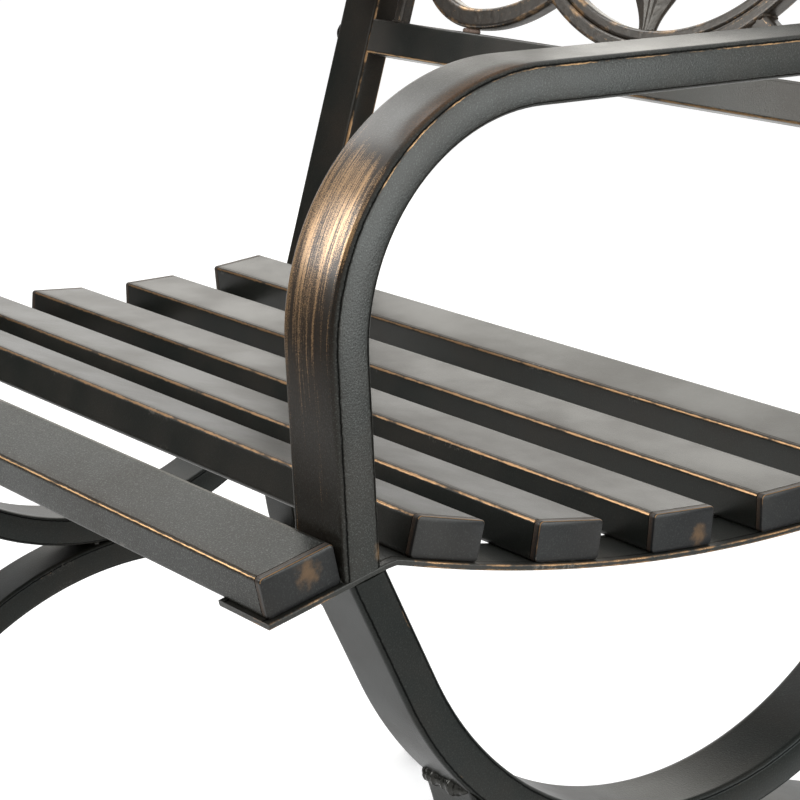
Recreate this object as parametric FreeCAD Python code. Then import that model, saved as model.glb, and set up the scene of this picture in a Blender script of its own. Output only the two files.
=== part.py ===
import FreeCAD, Part
import math
import os

# Slatted steel garden armchair with a scrolled back. Millimetres, +Z up, the sitter faces -Y,
# +X is the sitter's left. The side frames are drawn in the Y-Z plane, with y = 0 on the axis of
# the upper arc, and the back is drawn upright in X-Z and then leaned. At the end everything is
# moved so that the origin is the bottom centre of the chair's box.

Vector = FreeCAD.Vector
LEFT, RIGHT = 1, -1

# Rectangular tube of arms, arcs, legs, posts and slats
TUBE_WIDE = 40.0
TUBE_THIN = 20.0
TUBE_WALL = 1.2
TUBE_EDGE = 2.0
CHAIR_WIDTH = 630.0

# Seat bar: a flat bar with a front slope, a crest and a long dish
SEAT_LOW_H = 398.0
DISH_RADIUS = 870.0
DISH_LOW_Y = 54.0
BAR_THICK = 3.0
CREST_FROM_LOW = 243.0
CREST_RADIUS = 14.0
FRONT_SLOPE = 13.0

# Seat slats
SLAT_INSET = 3.0
DISH_SLATS = 5
SLAT_PITCH = 75.5
CREST_TO_SLAT = 26.6
SLAT_CAP_THICK = 4.5
CAP_PLUG_WALL = 1.5
BACK_GAP = 20.5

# Arm with its front post
ARM_TOP_H = 648.5
ARM_BEND_RADIUS = 106.0
FRONT_POST_RAKE = 3.2
FRONT_POST_AHEAD = 14.5

# Upper arc, lower leg arch and the curved struts between them
UPPER_ARC_RADIUS = 197.0
UPPER_ARC_BOTTOM_H = 245.0
UPPER_ARC_SPREAD = 63.9
ARCH_RADIUS = 240.0
ARCH_SPREAD = 60.0
ARCH_BEHIND = 28.5
STRUT_RADIUS = 165.0
FRONT_STRUT_WAIST = (-126.0, 247.0)
REAR_STRUT_WAIST = (164.0, 266.0)
FOOT_CAP_THICK = 6.0
FOOT_PLUG_LENGTH = 14.0

# Back: posts, rails and the scrolled ornament, heights measured along the lean
BACK_LEAN = 16.3
LOWER_RAIL_UP = 169.0
RAIL_TALL = 25.0
TOP_RAIL_RISE = 28.0
POST_ABOVE_RAIL = 8.0
POST_CAP_THICK = 4.0
POST_PLUG_LENGTH = 12.0
RING_RADIUS = 163.0
RING_BAR = 10.0
RING_DEPTH = 12.0
INNER_RING_BAR = 8.0
INNER_RING_DEPTH = 10.0
SCROLL_BAR = 14.0
SCROLL_DEPTH = 12.0
SCROLL_TAIL_RADIUS = 137.0
SCROLL_TAIL_TURN = 38.0
VOLUTE_RADII = (68.0, 50.0, 30.0, 20.0, 12.0)
STILE_BAR = 8.0
STILE_DEPTH = 10.0
LEAF_LENGTH = 112.0
LEAF_HALF_WIDTH = 13.0
PETAL_SPAN = 56.0
PETAL_HEIGHT = 78.0
PETAL_CROOK = 18.0
PETAL_BELLY = 13.0
PETAL_WAIST = 12.0
TULIP_DEPTH = 9.0

# Fasteners: M6 screws with rivet nuts under the slats, M8 bolts through the posts into the rails
SCREW_SIZE = 6.0
SCREW_HEAD = 11.0
SCREW_HEAD_TALL = 3.5
SCREW_REACH = 14.0
SCREW_SOCKET = 4.0
NUT_BODY = 9.0
NUT_FLANGE = 12.0
NUT_FLANGE_THICK = 0.8
NUT_LENGTH = 11.0
BOLT_SIZE = 8.0
BOLT_HEAD = 14.0
BOLT_HEAD_TALL = 4.5
BOLT_SOCKET = 5.0
BOLT_REACH = 22.0
WASHER_WIDE = 18.0
WASHER_THICK = 1.6
RAIL_PLUG_LENGTH = 30.0

# Clearances
FIT = 0.2
WELD_GAP = 0.2
HOLE_CLEARANCE = 0.4
FRONT_SLAT_GAP = 0.6
BAR_LIP = 1.8
CAP_NUT_GAP = 1.0
STRUT_GAP = 0.6
SCROLL_LIFT = 3.0
ORNAMENT_SETBACK = 0.5
SPARE_TURN = 8.0
FAR = 1500.0
FLAT = 0.001

# Derived places
SIDE_OUT = CHAIR_WIDTH / 2
SIDE_IN = SIDE_OUT - TUBE_WIDE
SIDE_MID = SIDE_OUT - TUBE_WIDE / 2
HALF_THIN = TUBE_THIN / 2
SLAT_LENGTH = CHAIR_WIDTH - 2 * SLAT_INSET
CAP_INSIDE = SLAT_LENGTH / 2 - SLAT_CAP_THICK
CAP_PLUG_LENGTH = CAP_INSIDE - SIDE_MID - NUT_FLANGE / 2 - CAP_NUT_GAP
DISH_TOP = SEAT_LOW_H + DISH_RADIUS
CREST_ANGLE = math.degrees(math.asin(CREST_FROM_LOW / DISH_RADIUS))
PITCH_ANGLE = math.degrees(SLAT_PITCH / DISH_RADIUS)
FIRST_SLAT_ANGLE = math.degrees(CREST_TO_SLAT / DISH_RADIUS) - CREST_ANGLE
LAST_SLAT_ANGLE = FIRST_SLAT_ANGLE + PITCH_ANGLE * (DISH_SLATS - 1)
UPPER_ARC_CENTRE_H = UPPER_ARC_BOTTOM_H + UPPER_ARC_RADIUS + HALF_THIN
ARC_TO_ARCH = UPPER_ARC_RADIUS + ARCH_RADIUS + TUBE_THIN + WELD_GAP
ARCH_CENTRE_H = UPPER_ARC_CENTRE_H - math.sqrt(ARC_TO_ARCH ** 2 - ARCH_BEHIND ** 2)
SLAT_SEAT = (TUBE_WIDE / 2 - TUBE_EDGE) ** 2 / (2 * DISH_RADIUS)
POST_REACH = HALF_THIN / math.cos(math.radians(FRONT_SLOPE - FRONT_POST_RAKE))
FRONT_SLAT_ALONG = FRONT_POST_AHEAD + POST_REACH + FRONT_SLAT_GAP + TUBE_WIDE / 2
FRONT_RUN = FRONT_SLAT_ALONG + TUBE_WIDE / 2 + BAR_LIP


def turned(point, angle, length):
    """Point at a length from another in the direction of an angle in degrees."""
    return (point[0] + length * math.cos(math.radians(angle)),
            point[1] + length * math.sin(math.radians(angle)))


def dish_point(angle, below=0.0):
    """Point on the dish at an angle from its lowest point, below the bar's upper face."""
    return turned((DISH_LOW_Y, DISH_TOP), angle - 90, DISH_RADIUS + below)


def walk(start, heading, moves, offset):
    """Stretches of a bent path shifted to its left by offset, each as start, middle and end.

    A move is ("run", length) or ("bend", radius, turn), where a positive turn goes left.
    """
    point, stretches = start, []
    for move in moves:
        begin = turned(point, heading + 90, offset)
        if move[0] == "run":
            point = turned(point, heading, move[1])
            middle = None
        else:
            radius, turn = move[1], move[2]
            side = math.copysign(90, turn)
            centre = turned(point, heading + side, radius)
            reach = radius - offset * math.copysign(1, turn)
            middle = turned(centre, heading - side + turn / 2, reach)
            point = turned(centre, heading - side + turn, radius)
            heading += turn
        stretches.append((begin, middle, turned(point, heading + 90, offset)))
    return stretches


def edges_of(stretches, place):
    """Lines and arcs of the stretches, set into space by place."""
    edges = []
    for begin, middle, end in stretches:
        if middle is None:
            edges.append(Part.LineSegment(place(*begin), place(*end)).toShape())
        else:
            edges.append(Part.Arc(place(*begin), place(*middle), place(*end)).toShape())
    return edges


def closed_face(edges):
    return Part.Face(Part.Wire(Part.sortEdges(edges)[0]))


def band(place, start, heading, moves, left, right):
    """Flat face between a path's two sides, left and right of its line."""
    one = walk(start, heading, moves, left)
    other = walk(start, heading, moves, -right)
    edges = edges_of(one, place) + edges_of(other, place)
    edges.append(Part.LineSegment(place(*one[0][0]), place(*other[0][0])).toShape())
    edges.append(Part.LineSegment(place(*one[-1][2]), place(*other[-1][2])).toShape())
    return closed_face(edges)


def at_side(x):
    """Places side-frame points (y, z) in the plane of that x."""
    return lambda y, z: Vector(x, y, z)


def at_depth(y):
    """Places upright back points (x, z) in the plane of that y."""
    return lambda x, z: Vector(x, y, z)


def flat_edges(shape, axis, longer_than=0.0):
    """Edges longer than a length that lie in a plane square to the axis."""
    flat = [edge for edge in shape.Edges if getattr(edge.BoundBox, axis + "Length") < FLAT]
    return [edge for edge in flat if edge.Length > longer_than]


def side_solid(path, grow=0.0):
    """Left-hand solid along a side-frame path, grown or shrunk on all four sides."""
    half = HALF_THIN + grow
    face = band(at_side(SIDE_IN - grow), *path, half, half)
    return face.extrude(Vector(TUBE_WIDE + 2 * grow, 0, 0))


def side_tube(path):
    """Left-hand hollow tube with rounded edges along a side-frame path."""
    outside = side_solid(path)
    outside = outside.makeFillet(TUBE_EDGE, flat_edges(outside, "X", TUBE_THIN + FIT))
    return outside.cut(side_solid(path, -TUBE_WALL))


def mirrored(shape):
    return shape.mirror(Vector(0, 0, 0), Vector(1, 0, 0))


def group(solids):
    return Part.makeCompound(solids)


def circles_meet(one, radius_one, other, radius_other, turn):
    """Crossing of two circles on the turn side (1 left, -1 right) of the way from one to other.

    Where the circles pass each other by, it is the point between them.
    """
    dy, dz = other[0] - one[0], other[1] - one[1]
    distance = math.hypot(dy, dz)
    along = (distance ** 2 + radius_one ** 2 - radius_other ** 2) / (2 * distance)
    aside = turn * math.sqrt(max(0.0, radius_one ** 2 - along ** 2))
    heading = math.degrees(math.atan2(dz, dy))
    return turned(turned(one, heading, along), heading + 90, aside)


def bearing(centre, point):
    return math.degrees(math.atan2(point[1] - centre[1], point[0] - centre[0]))


# Paths of the side frame

def back_foot():
    """Front edge of the back post on the bar: clear of the last slat by the back gap."""
    half_slat = math.degrees((TUBE_WIDE / 2 + BACK_GAP) / DISH_RADIUS)
    return dish_point(LAST_SLAT_ANGLE + half_slat)


def upper_arc_path():
    """Straight end, bend and straight end, long enough to pass the bar at both ends."""
    centre = (0.0, UPPER_ARC_CENTRE_H)
    tangent = turned(centre, -90 - UPPER_ARC_SPREAD, UPPER_ARC_RADIUS)
    heading = -UPPER_ARC_SPREAD
    end_run = UPPER_ARC_RADIUS
    start = turned(tangent, heading + 180, end_run)
    moves = [("run", end_run), ("bend", UPPER_ARC_RADIUS, 2 * UPPER_ARC_SPREAD), ("run", end_run)]
    return start, heading, moves


def bar_rear_angle():
    """Dish angle where the bar ends: behind the upper arc's end and the back post."""
    centre = (0.0, UPPER_ARC_CENTRE_H)
    tangent = turned(centre, UPPER_ARC_SPREAD - 90, UPPER_ARC_RADIUS + HALF_THIN)
    height = back_foot()[1] - BAR_THICK
    arc_end = tangent[0] + (height - tangent[1]) / math.tan(math.radians(UPPER_ARC_SPREAD))
    post_end = back_foot()[0] + TUBE_THIN / math.cos(math.radians(BACK_LEAN))
    rear = max(arc_end, post_end) + TUBE_EDGE
    return math.degrees(math.asin((rear - DISH_LOW_Y) / DISH_RADIUS))


def bar_path(rear_angle, front_run):
    """Upper face of the seat bar from its rear end along the dish, over the crest and down."""
    dish_turn = -(rear_angle + CREST_ANGLE)
    moves = [("bend", DISH_RADIUS, dish_turn),
             ("bend", CREST_RADIUS, CREST_ANGLE + FRONT_SLOPE),
             ("run", front_run)]
    return dish_point(rear_angle), 180 + rear_angle, moves


def crest_end():
    """Point and heading where the crest's bend runs into the front slope."""
    start, heading, moves = bar_path(0.0, 0.0)
    point = walk(start, heading, moves[:2], 0.0)[-1][2]
    return point, 180 + FRONT_SLOPE


def arm_path():
    """From inside the back post forward, round the front bend and down past the bar."""
    crest, slope = crest_end()
    foot = turned(crest, slope, FRONT_POST_AHEAD)
    height = ARM_TOP_H - HALF_THIN
    corner_y = foot[0] - (height - foot[1]) * math.tan(math.radians(FRONT_POST_RAKE))
    turn = 90 + FRONT_POST_RAKE
    tangent = ARM_BEND_RADIUS * math.tan(math.radians(turn / 2))
    rise = height - back_foot()[1]
    start_y = back_foot()[0] + rise * math.tan(math.radians(BACK_LEAN)) + TUBE_THIN
    run = start_y - corner_y - tangent
    drop = (height - foot[1]) / math.cos(math.radians(FRONT_POST_RAKE)) - tangent
    moves = [("run", run), ("bend", ARM_BEND_RADIUS, turn), ("run", drop + TUBE_WIDE)]
    return (start_y, height), 180.0, moves


def arch_path():
    """Front leg, round arch under the upper arc, rear leg, with both legs past the floor."""
    centre = (ARCH_BEHIND, ARCH_CENTRE_H)
    tangent = turned(centre, 90 + ARCH_SPREAD, ARCH_RADIUS)
    leg = tangent[1] / math.sin(math.radians(ARCH_SPREAD)) + 2 * TUBE_THIN
    start = turned(tangent, ARCH_SPREAD + 180, leg)
    moves = [("run", leg), ("bend", ARCH_RADIUS, -2 * ARCH_SPREAD), ("run", leg)]
    return start, ARCH_SPREAD, moves


def strut_path(waist, end):
    """Arc bowed towards the middle of the chair, from the leg arch up to the upper arc.

    The waist is its innermost point, and end is -1 at the front and 1 at the rear.
    """
    centre = (waist[0] + end * STRUT_RADIUS, waist[1])
    arch = (ARCH_BEHIND, ARCH_CENTRE_H)
    arc = (0.0, UPPER_ARC_CENTRE_H)
    foot = circles_meet(centre, STRUT_RADIUS, arch, ARCH_RADIUS + HALF_THIN, -end)
    head = circles_meet(centre, STRUT_RADIUS - HALF_THIN, arc, UPPER_ARC_RADIUS + HALF_THIN, end)
    low, high = bearing(centre, foot), bearing(centre, head)
    turn = (high - low + 180) % 360 - 180
    start = turned(centre, low, STRUT_RADIUS)
    return start, low + math.copysign(90, turn), [("bend", STRUT_RADIUS, turn)]


def beside_bar(depth, reach):
    """Region below (reach < 0) or above the bar's face that lies depth under its upper face."""
    rear = bar_rear_angle() + SPARE_TURN
    stretches = walk(*bar_path(rear, FRONT_RUN + TUBE_WIDE), depth)
    place = at_side(SIDE_IN - TUBE_WIDE)
    first, last = stretches[0][0], stretches[-1][2]
    far = [first, (first[0], first[1] + reach), (last[0], last[1] + reach), last]
    edges = edges_of(stretches, place)
    for begin, end in zip(far, far[1:]):
        edges.append(Part.LineSegment(place(*begin), place(*end)).toShape())
    return closed_face(edges).extrude(Vector(3 * TUBE_WIDE, 0, 0))


# Pieces of the side frame, made on the left

def back_placement():
    """Lean of the back about the front edge of its posts on the bar."""
    foot = back_foot()
    return FreeCAD.Placement(Vector(0, *foot), FreeCAD.Rotation(Vector(1, 0, 0), -BACK_LEAN))


def leaned(shape):
    """Upright back piece set at the back's lean."""
    copy = shape.copy()
    copy.Placement = back_placement().multiply(copy.Placement)
    return copy


def seat_bar():
    face = band(at_side(SIDE_IN), *bar_path(bar_rear_angle(), FRONT_RUN), BAR_THICK, 0.0)
    bar = face.extrude(Vector(TUBE_WIDE, 0, 0))
    for place in slat_places():
        bar = bar.cut(drilled(place, SCREW_SIZE + HOLE_CLEARANCE))
    return bar


def arm():
    behind = leaned(Part.makeBox(2 * TUBE_WIDE, FAR, FAR, Vector(SIDE_IN - HALF_THIN, 0, 0)))
    return side_tube(arm_path()).cut(beside_bar(0.0, -FAR)).cut(behind)


def upper_arc():
    return side_tube(upper_arc_path()).cut(beside_bar(BAR_THICK, FAR))


def floor_slab(low, high):
    return Part.makeBox(CHAIR_WIDTH, FAR, high - low, Vector(0, -FAR / 2, low))


def leg_arch():
    return side_tube(arch_path()).cut(floor_slab(-FAR, FOOT_CAP_THICK))


def foot_caps():
    """Plastic caps that close the leg ends, each a sole with a plug inside the tube."""
    sole = side_solid(arch_path()).common(floor_slab(0.0, FOOT_CAP_THICK))
    plug_slab = floor_slab(FOOT_CAP_THICK, FOOT_CAP_THICK + FOOT_PLUG_LENGTH)
    plug = side_solid(arch_path(), -TUBE_WALL - FIT).common(plug_slab)
    return sole.fuse(plug).removeSplitter().Solids


def strut(waist, end):
    """Curved strut, cut to the upper arc and the leg arch that it is welded to."""
    tube = side_tube(strut_path(waist, end))
    tube = tube.cut(side_solid(upper_arc_path(), STRUT_GAP)).cut(side_solid(arch_path()))
    return max(tube.Solids, key=lambda solid: solid.Volume)


def back_post():
    top = post_top()
    below = 2 * TUBE_WIDE
    outer = Part.makeBox(TUBE_WIDE, TUBE_THIN, top + below, Vector(SIDE_IN, 0, -below))
    long_edges = [edge for edge in outer.Edges if edge.BoundBox.ZLength > TUBE_WIDE]
    outer = outer.makeFillet(TUBE_EDGE, long_edges)
    inner = Part.makeBox(TUBE_WIDE - 2 * TUBE_WALL, TUBE_THIN - 2 * TUBE_WALL, top + below,
                         Vector(SIDE_IN + TUBE_WALL, TUBE_WALL, -below))
    post = outer.cut(inner)
    for height in bolt_heights():
        hole = across(BOLT_SIZE + HOLE_CLEARANCE, SIDE_IN - TUBE_WALL, 2 * TUBE_WIDE, height)
        post = post.cut(hole)
    return leaned(post).cut(beside_bar(0.0, -FAR))


def post_cap():
    """Cap on the post's top: a rounded plate with a plug."""
    top = post_top()
    plate = Part.makeBox(TUBE_WIDE, TUBE_THIN, POST_CAP_THICK, Vector(SIDE_IN, 0, top))
    rim = [edge for edge in plate.Edges if edge.BoundBox.ZMax > top + FIT]
    plate = plate.makeFillet(TUBE_EDGE, rim)
    inset = TUBE_WALL + FIT
    plug = Part.makeBox(TUBE_WIDE - 2 * inset, TUBE_THIN - 2 * inset, POST_PLUG_LENGTH,
                        Vector(SIDE_IN + inset, inset, top - POST_PLUG_LENGTH))
    return leaned(plate.fuse(plug))


# Seat slats and their fasteners

def slat_places():
    """Placement of each slat from the front: bottom centre at x = 0, leaned with the bar."""
    crest, slope = crest_end()
    spots = [(turned(crest, slope, FRONT_SLAT_ALONG), FRONT_SLOPE)]
    for number in range(DISH_SLATS):
        angle = FIRST_SLAT_ANGLE + number * PITCH_ANGLE
        spots.append((dish_point(angle, -SLAT_SEAT), angle))
    return [FreeCAD.Placement(Vector(0, *spot), FreeCAD.Rotation(Vector(1, 0, 0), angle))
            for spot, angle in spots]


def placed(shape, placement):
    copy = shape.copy()
    copy.Placement = placement.multiply(copy.Placement)
    return copy


def drilled(placement, size):
    """Round bar through the bar and the slat's lower wall at the left-hand screw."""
    hole = Part.makeCylinder(size / 2, 2 * TUBE_THIN, Vector(SIDE_MID, 0, -TUBE_THIN))
    hole = hole.common(Part.makeBox(CHAIR_WIDTH, TUBE_WIDE, TUBE_THIN + HALF_THIN,
                                    Vector(0, -TUBE_WIDE / 2, -TUBE_THIN)))
    return placed(hole, placement)


def rounded_bar(length, inset, edge):
    """Slat section as a bar centred on x, shrunk by the inset, with rounded long edges."""
    wide, tall = TUBE_WIDE - 2 * inset, TUBE_THIN - 2 * inset
    bar = Part.makeBox(length, wide, tall, Vector(-length / 2, -wide / 2, inset))
    if edge > 0:
        long_edges = [line for line in bar.Edges if line.BoundBox.XLength > TUBE_WIDE]
        bar = bar.makeFillet(edge, long_edges)
    return bar


def slat(placement):
    length = SLAT_LENGTH - 2 * SLAT_CAP_THICK
    tube = rounded_bar(length, 0.0, TUBE_EDGE).cut(rounded_bar(length, TUBE_WALL, 0.0))
    tube = placed(tube, placement)
    hole = drilled(placement, NUT_BODY + FIT)
    return tube.cut(hole).cut(mirrored(hole))


def slat_cap(placement, side):
    """End cap with a rounded rim and a hollow plug inside the slat."""
    end = SLAT_LENGTH / 2
    plate = rounded_bar(SLAT_LENGTH, 0.0, TUBE_EDGE)
    plate = plate.common(Part.makeBox(SLAT_CAP_THICK, 2 * TUBE_WIDE, 2 * TUBE_THIN,
                                      Vector(CAP_INSIDE, -TUBE_WIDE, -HALF_THIN)))
    plate = plate.makeFillet(SLAT_CAP_THICK / 2, [line for line in flat_edges(plate, "X")
                                                  if line.BoundBox.XMin > end - FIT])
    sleeve = rounded_bar(SLAT_LENGTH, TUBE_WALL + FIT, 0.0)
    sleeve = sleeve.cut(rounded_bar(SLAT_LENGTH, TUBE_WALL + FIT + CAP_PLUG_WALL, 0.0))
    sleeve = sleeve.common(Part.makeBox(CAP_PLUG_LENGTH, 2 * TUBE_WIDE, 2 * TUBE_THIN,
                                        Vector(CAP_INSIDE - CAP_PLUG_LENGTH, -TUBE_WIDE, -HALF_THIN)))
    cap = placed(plate.fuse(sleeve), placement)
    return cap if side == LEFT else mirrored(cap)


def socket(size, depth, base, axis):
    """Hexagonal key socket cut into a fastener's head, as wide as the key."""
    corner = size / math.sqrt(3)
    tool = Part.Face(Part.makePolygon([Vector(corner * math.cos(math.radians(60 * step)),
                                              corner * math.sin(math.radians(60 * step)), 0)
                                       for step in range(7)])).extrude(Vector(0, 0, depth))
    tool.Placement = FreeCAD.Placement(base, FreeCAD.Rotation(Vector(0, 0, 1), axis))
    return tool


def slat_screw(placement, side):
    """Button-headed screw from under the bar up into the rivet nut."""
    under = -BAR_THICK - SLAT_SEAT
    up = Vector(0, 0, 1)
    bottom = Vector(SIDE_MID, 0, under - SCREW_HEAD_TALL)
    head = Part.makeCylinder(SCREW_HEAD / 2, SCREW_HEAD_TALL, bottom)
    lower_rim = [edge for edge in head.Edges if edge.BoundBox.ZMax < under - FIT]
    head = head.makeFillet(SCREW_HEAD_TALL / 2, lower_rim)
    shank = Part.makeCylinder(SCREW_SIZE / 2, SCREW_REACH, Vector(SIDE_MID, 0, under))
    key = socket(SCREW_SOCKET, SCREW_HEAD_TALL / 2, bottom, up)
    screw = placed(head.fuse(shank).cut(key), placement)
    return screw if side == LEFT else mirrored(screw)


def rivet_nut(placement, side):
    """Threaded sleeve set in the slat's lower wall, with its flange inside the slat."""
    body = Part.makeCylinder(NUT_BODY / 2, NUT_LENGTH, Vector(SIDE_MID, 0, 0))
    flange = Part.makeCylinder(NUT_FLANGE / 2, NUT_FLANGE_THICK, Vector(SIDE_MID, 0, TUBE_WALL))
    bore = Part.makeCylinder(SCREW_SIZE / 2, 2 * NUT_LENGTH, Vector(SIDE_MID, 0, -HALF_THIN))
    nut = placed(body.fuse(flange).cut(bore), placement)
    return nut if side == LEFT else mirrored(nut)


# Back panel, drawn upright with its front face at y = 0 and leaned last

def ring_centre():
    return (0.0, LOWER_RAIL_UP + RAIL_TALL + WELD_GAP + RING_RADIUS)


def top_rail_radius():
    """Radius of the top rail's lower face from its half span and its rise."""
    return (SIDE_IN ** 2 + TOP_RAIL_RISE ** 2) / (2 * TOP_RAIL_RISE)


def top_rail_centre():
    crown = ring_centre()[1] + RING_RADIUS + WELD_GAP
    return (0.0, crown - top_rail_radius())


def top_rail_height(radius):
    """Height at which a circle about the top rail's centre meets the post."""
    return top_rail_centre()[1] + math.sqrt(radius ** 2 - SIDE_IN ** 2)


def post_top():
    return top_rail_height(top_rail_radius() + RAIL_TALL) + POST_ABOVE_RAIL


def bolt_heights():
    middle = LOWER_RAIL_UP + RAIL_TALL / 2
    return (middle, top_rail_height(top_rail_radius() + RAIL_TALL / 2))


def across(size, start, length, height):
    """Round bar along +X in the middle of the back's depth."""
    return Part.makeCylinder(size / 2, length, Vector(start, HALF_THIN, height), Vector(1, 0, 0))


def between_posts(inset):
    """Slab between the posts' inner faces, shortened by the inset at each end."""
    length = 2 * (SIDE_IN - inset)
    return Part.makeBox(length, FAR, FAR, Vector(-length / 2, -FAR / 2, 0))


def rail_solid(bent, inset):
    """Solid of the lower or the top rail's section, shrunk by the inset, from post to post."""
    half = RAIL_TALL / 2 - inset
    place = at_depth(inset)
    if bent:
        radius = top_rail_radius() + RAIL_TALL / 2
        spread = math.degrees(math.asin(SIDE_OUT / radius))
        start = turned(top_rail_centre(), 90 + spread, radius)
        face = band(place, start, spread, [("bend", radius, -2 * spread)], half, half)
    else:
        start = (-SIDE_OUT, LOWER_RAIL_UP + RAIL_TALL / 2)
        face = band(place, start, 0.0, [("run", CHAIR_WIDTH)], half, half)
    return face.extrude(Vector(0, TUBE_THIN - 2 * inset, 0))


def rail(bent):
    outside = rail_solid(bent, 0.0)
    outside = outside.makeFillet(TUBE_EDGE, flat_edges(outside, "Y", RAIL_TALL + FIT))
    return leaned(outside.cut(rail_solid(bent, TUBE_WALL)).common(between_posts(0.0)))


def rail_plugs():
    """Threaded blocks inside the four rail ends."""
    solids = []
    for bent, height in zip((False, True), bolt_heights()):
        block = rail_solid(bent, TUBE_WALL + FIT).common(between_posts(0.0))
        block = block.cut(between_posts(RAIL_PLUG_LENGTH))
        left = [solid for solid in block.Solids if solid.BoundBox.XMin > 0][0]
        left = leaned(left.cut(across(BOLT_SIZE, 0.0, CHAIR_WIDTH, height)))
        solids += [left, mirrored(left)]
    return solids


def rail_bolts():
    solids = []
    for height in bolt_heights():
        seat = SIDE_OUT + WASHER_THICK
        head = across(BOLT_HEAD, seat, BOLT_HEAD_TALL, height)
        rim = [edge for edge in flat_edges(head, "X") if edge.BoundBox.XMin > seat + FIT]
        head = head.makeFillet(BOLT_HEAD_TALL / 2, rim)
        length = BOLT_REACH + TUBE_WIDE + WASHER_THICK
        shank = across(BOLT_SIZE, SIDE_IN - BOLT_REACH, length, height)
        mouth = Vector(seat + BOLT_HEAD_TALL / 2, HALF_THIN, height)
        bolt = head.fuse(shank).cut(socket(BOLT_SOCKET, BOLT_HEAD_TALL, mouth, Vector(1, 0, 0)))
        solids += [leaned(bolt), mirrored(leaned(bolt))]
    return solids


def rail_washers():
    solids = []
    for height in bolt_heights():
        washer = across(WASHER_WIDE, SIDE_OUT, WASHER_THICK, height)
        washer = washer.cut(across(BOLT_SIZE + HOLE_CLEARANCE, SIDE_IN, 2 * TUBE_WIDE, height))
        solids += [leaned(washer), mirrored(leaned(washer))]
    return solids


def disc(centre, radius):
    """Round slab through the back about a centre."""
    x, z = centre
    return Part.makeCylinder(radius, FAR, Vector(x, -FAR / 2, z), Vector(0, 1, 0))


def ornament_front(depth):
    """Front of an ornament piece: centred on the outer ring, which stands just behind the rails' front."""
    return ORNAMENT_SETBACK + (RING_DEPTH - depth) / 2


def ring(outer, bar, depth):
    slab = Part.makeBox(CHAIR_WIDTH, depth, FAR, Vector(-SIDE_OUT, ornament_front(depth), 0))
    return leaned(disc(ring_centre(), outer).cut(disc(ring_centre(), outer - bar)).common(slab))


def back_stile():
    """Left-hand upright bar from rail to rail, just outside the scrolls that are welded to it."""
    axis, _ = scroll_bow(False)
    inner = VOLUTE_RADII[0] - axis + SCROLL_BAR / 2 + WELD_GAP
    foot = Vector(inner, ornament_front(STILE_DEPTH), LOWER_RAIL_UP + RAIL_TALL)
    bar = Part.makeBox(STILE_BAR, STILE_DEPTH, FAR, foot)
    return leaned(bar.common(disc(top_rail_centre(), top_rail_radius())))


def tulip():
    """Cast bud on the ring's inside: a middle leaf between two petals that curl outwards."""
    base = ring_centre()[1] - RING_RADIUS + RING_BAR + INNER_RING_BAR
    place = at_depth(ornament_front(TULIP_DEPTH))
    leaf_tip = (0.0, base + LEAF_LENGTH)
    middle = base + LEAF_LENGTH / 2
    leaf = closed_face(edges_of([((0.0, base), (LEAF_HALF_WIDTH, middle), leaf_tip),
                                 (leaf_tip, (-LEAF_HALF_WIDTH, middle), (0.0, base))], place))
    faces = [leaf]
    for side in (LEFT, RIGHT):
        root_low = (0.0, base - INNER_RING_BAR / 2)
        root_side = (side * PETAL_WAIST / 2, base - INNER_RING_BAR / 2)
        root_high = (0.0, base + PETAL_HEIGHT / 2)
        tip = (side * PETAL_SPAN, base + PETAL_HEIGHT)
        belly = (side * PETAL_BELLY, base + PETAL_HEIGHT / 4)
        crook = (side * PETAL_CROOK, base + PETAL_HEIGHT * 2 / 3)
        outline = [(root_side, belly, tip), (tip, crook, root_high), (root_high, None, root_low),
                   (root_low, None, root_side)]
        faces.append(closed_face(edges_of(outline, place)))
    solids = [face.extrude(Vector(0, TULIP_DEPTH, 0)) for face in faces]
    bud = solids[0].fuse(solids[1:]).removeSplitter()
    return leaned(bud.common(disc(ring_centre(), RING_RADIUS - RING_BAR - INNER_RING_BAR)))


def scroll_bow(upper):
    """Centre of a scroll's first bow: it stands just off its rail, and its third turn meets the ring."""
    lift = SCROLL_BAR / 2 + SCROLL_LIFT
    third_rise = VOLUTE_RADII[1] - VOLUTE_RADII[2]
    low = LOWER_RAIL_UP + RAIL_TALL + lift + VOLUTE_RADII[0]
    reach = RING_RADIUS + VOLUTE_RADII[2] + SCROLL_BAR / 2 + WELD_GAP
    rise = ring_centre()[1] - low - third_rise
    axis = VOLUTE_RADII[0] - VOLUTE_RADII[1] - math.sqrt(reach ** 2 - rise ** 2)
    if not upper:
        return axis, low
    under_rail = top_rail_radius() - VOLUTE_RADII[0] - lift
    return axis, top_rail_centre()[1] + math.sqrt(under_rail ** 2 - axis ** 2)


def scroll(upper):
    """Volute on the lower rail, or the one under the top rail, as bends that grow tighter.

    Its tail sweeps from the ring to the rail, and the quarter bends wind in from there.
    """
    axis, height = scroll_bow(upper)
    flip = -1 if upper else 1
    tail = (axis, height + flip * (SCROLL_TAIL_RADIUS - VOLUTE_RADII[0]))
    start = turned(tail, flip * (SCROLL_TAIL_TURN - 90), SCROLL_TAIL_RADIUS)
    moves = [("bend", SCROLL_TAIL_RADIUS, -flip * SCROLL_TAIL_TURN)]
    moves += [("bend", radius, -flip * 90) for radius in VOLUTE_RADII]
    place = at_depth(ornament_front(SCROLL_DEPTH))
    half = SCROLL_BAR / 2
    face = band(place, start, 180 + flip * SCROLL_TAIL_TURN, moves, half, half)
    bar = face.extrude(Vector(0, SCROLL_DEPTH, 0))
    return leaned(bar.cut(disc(ring_centre(), RING_RADIUS + WELD_GAP)))


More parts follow.
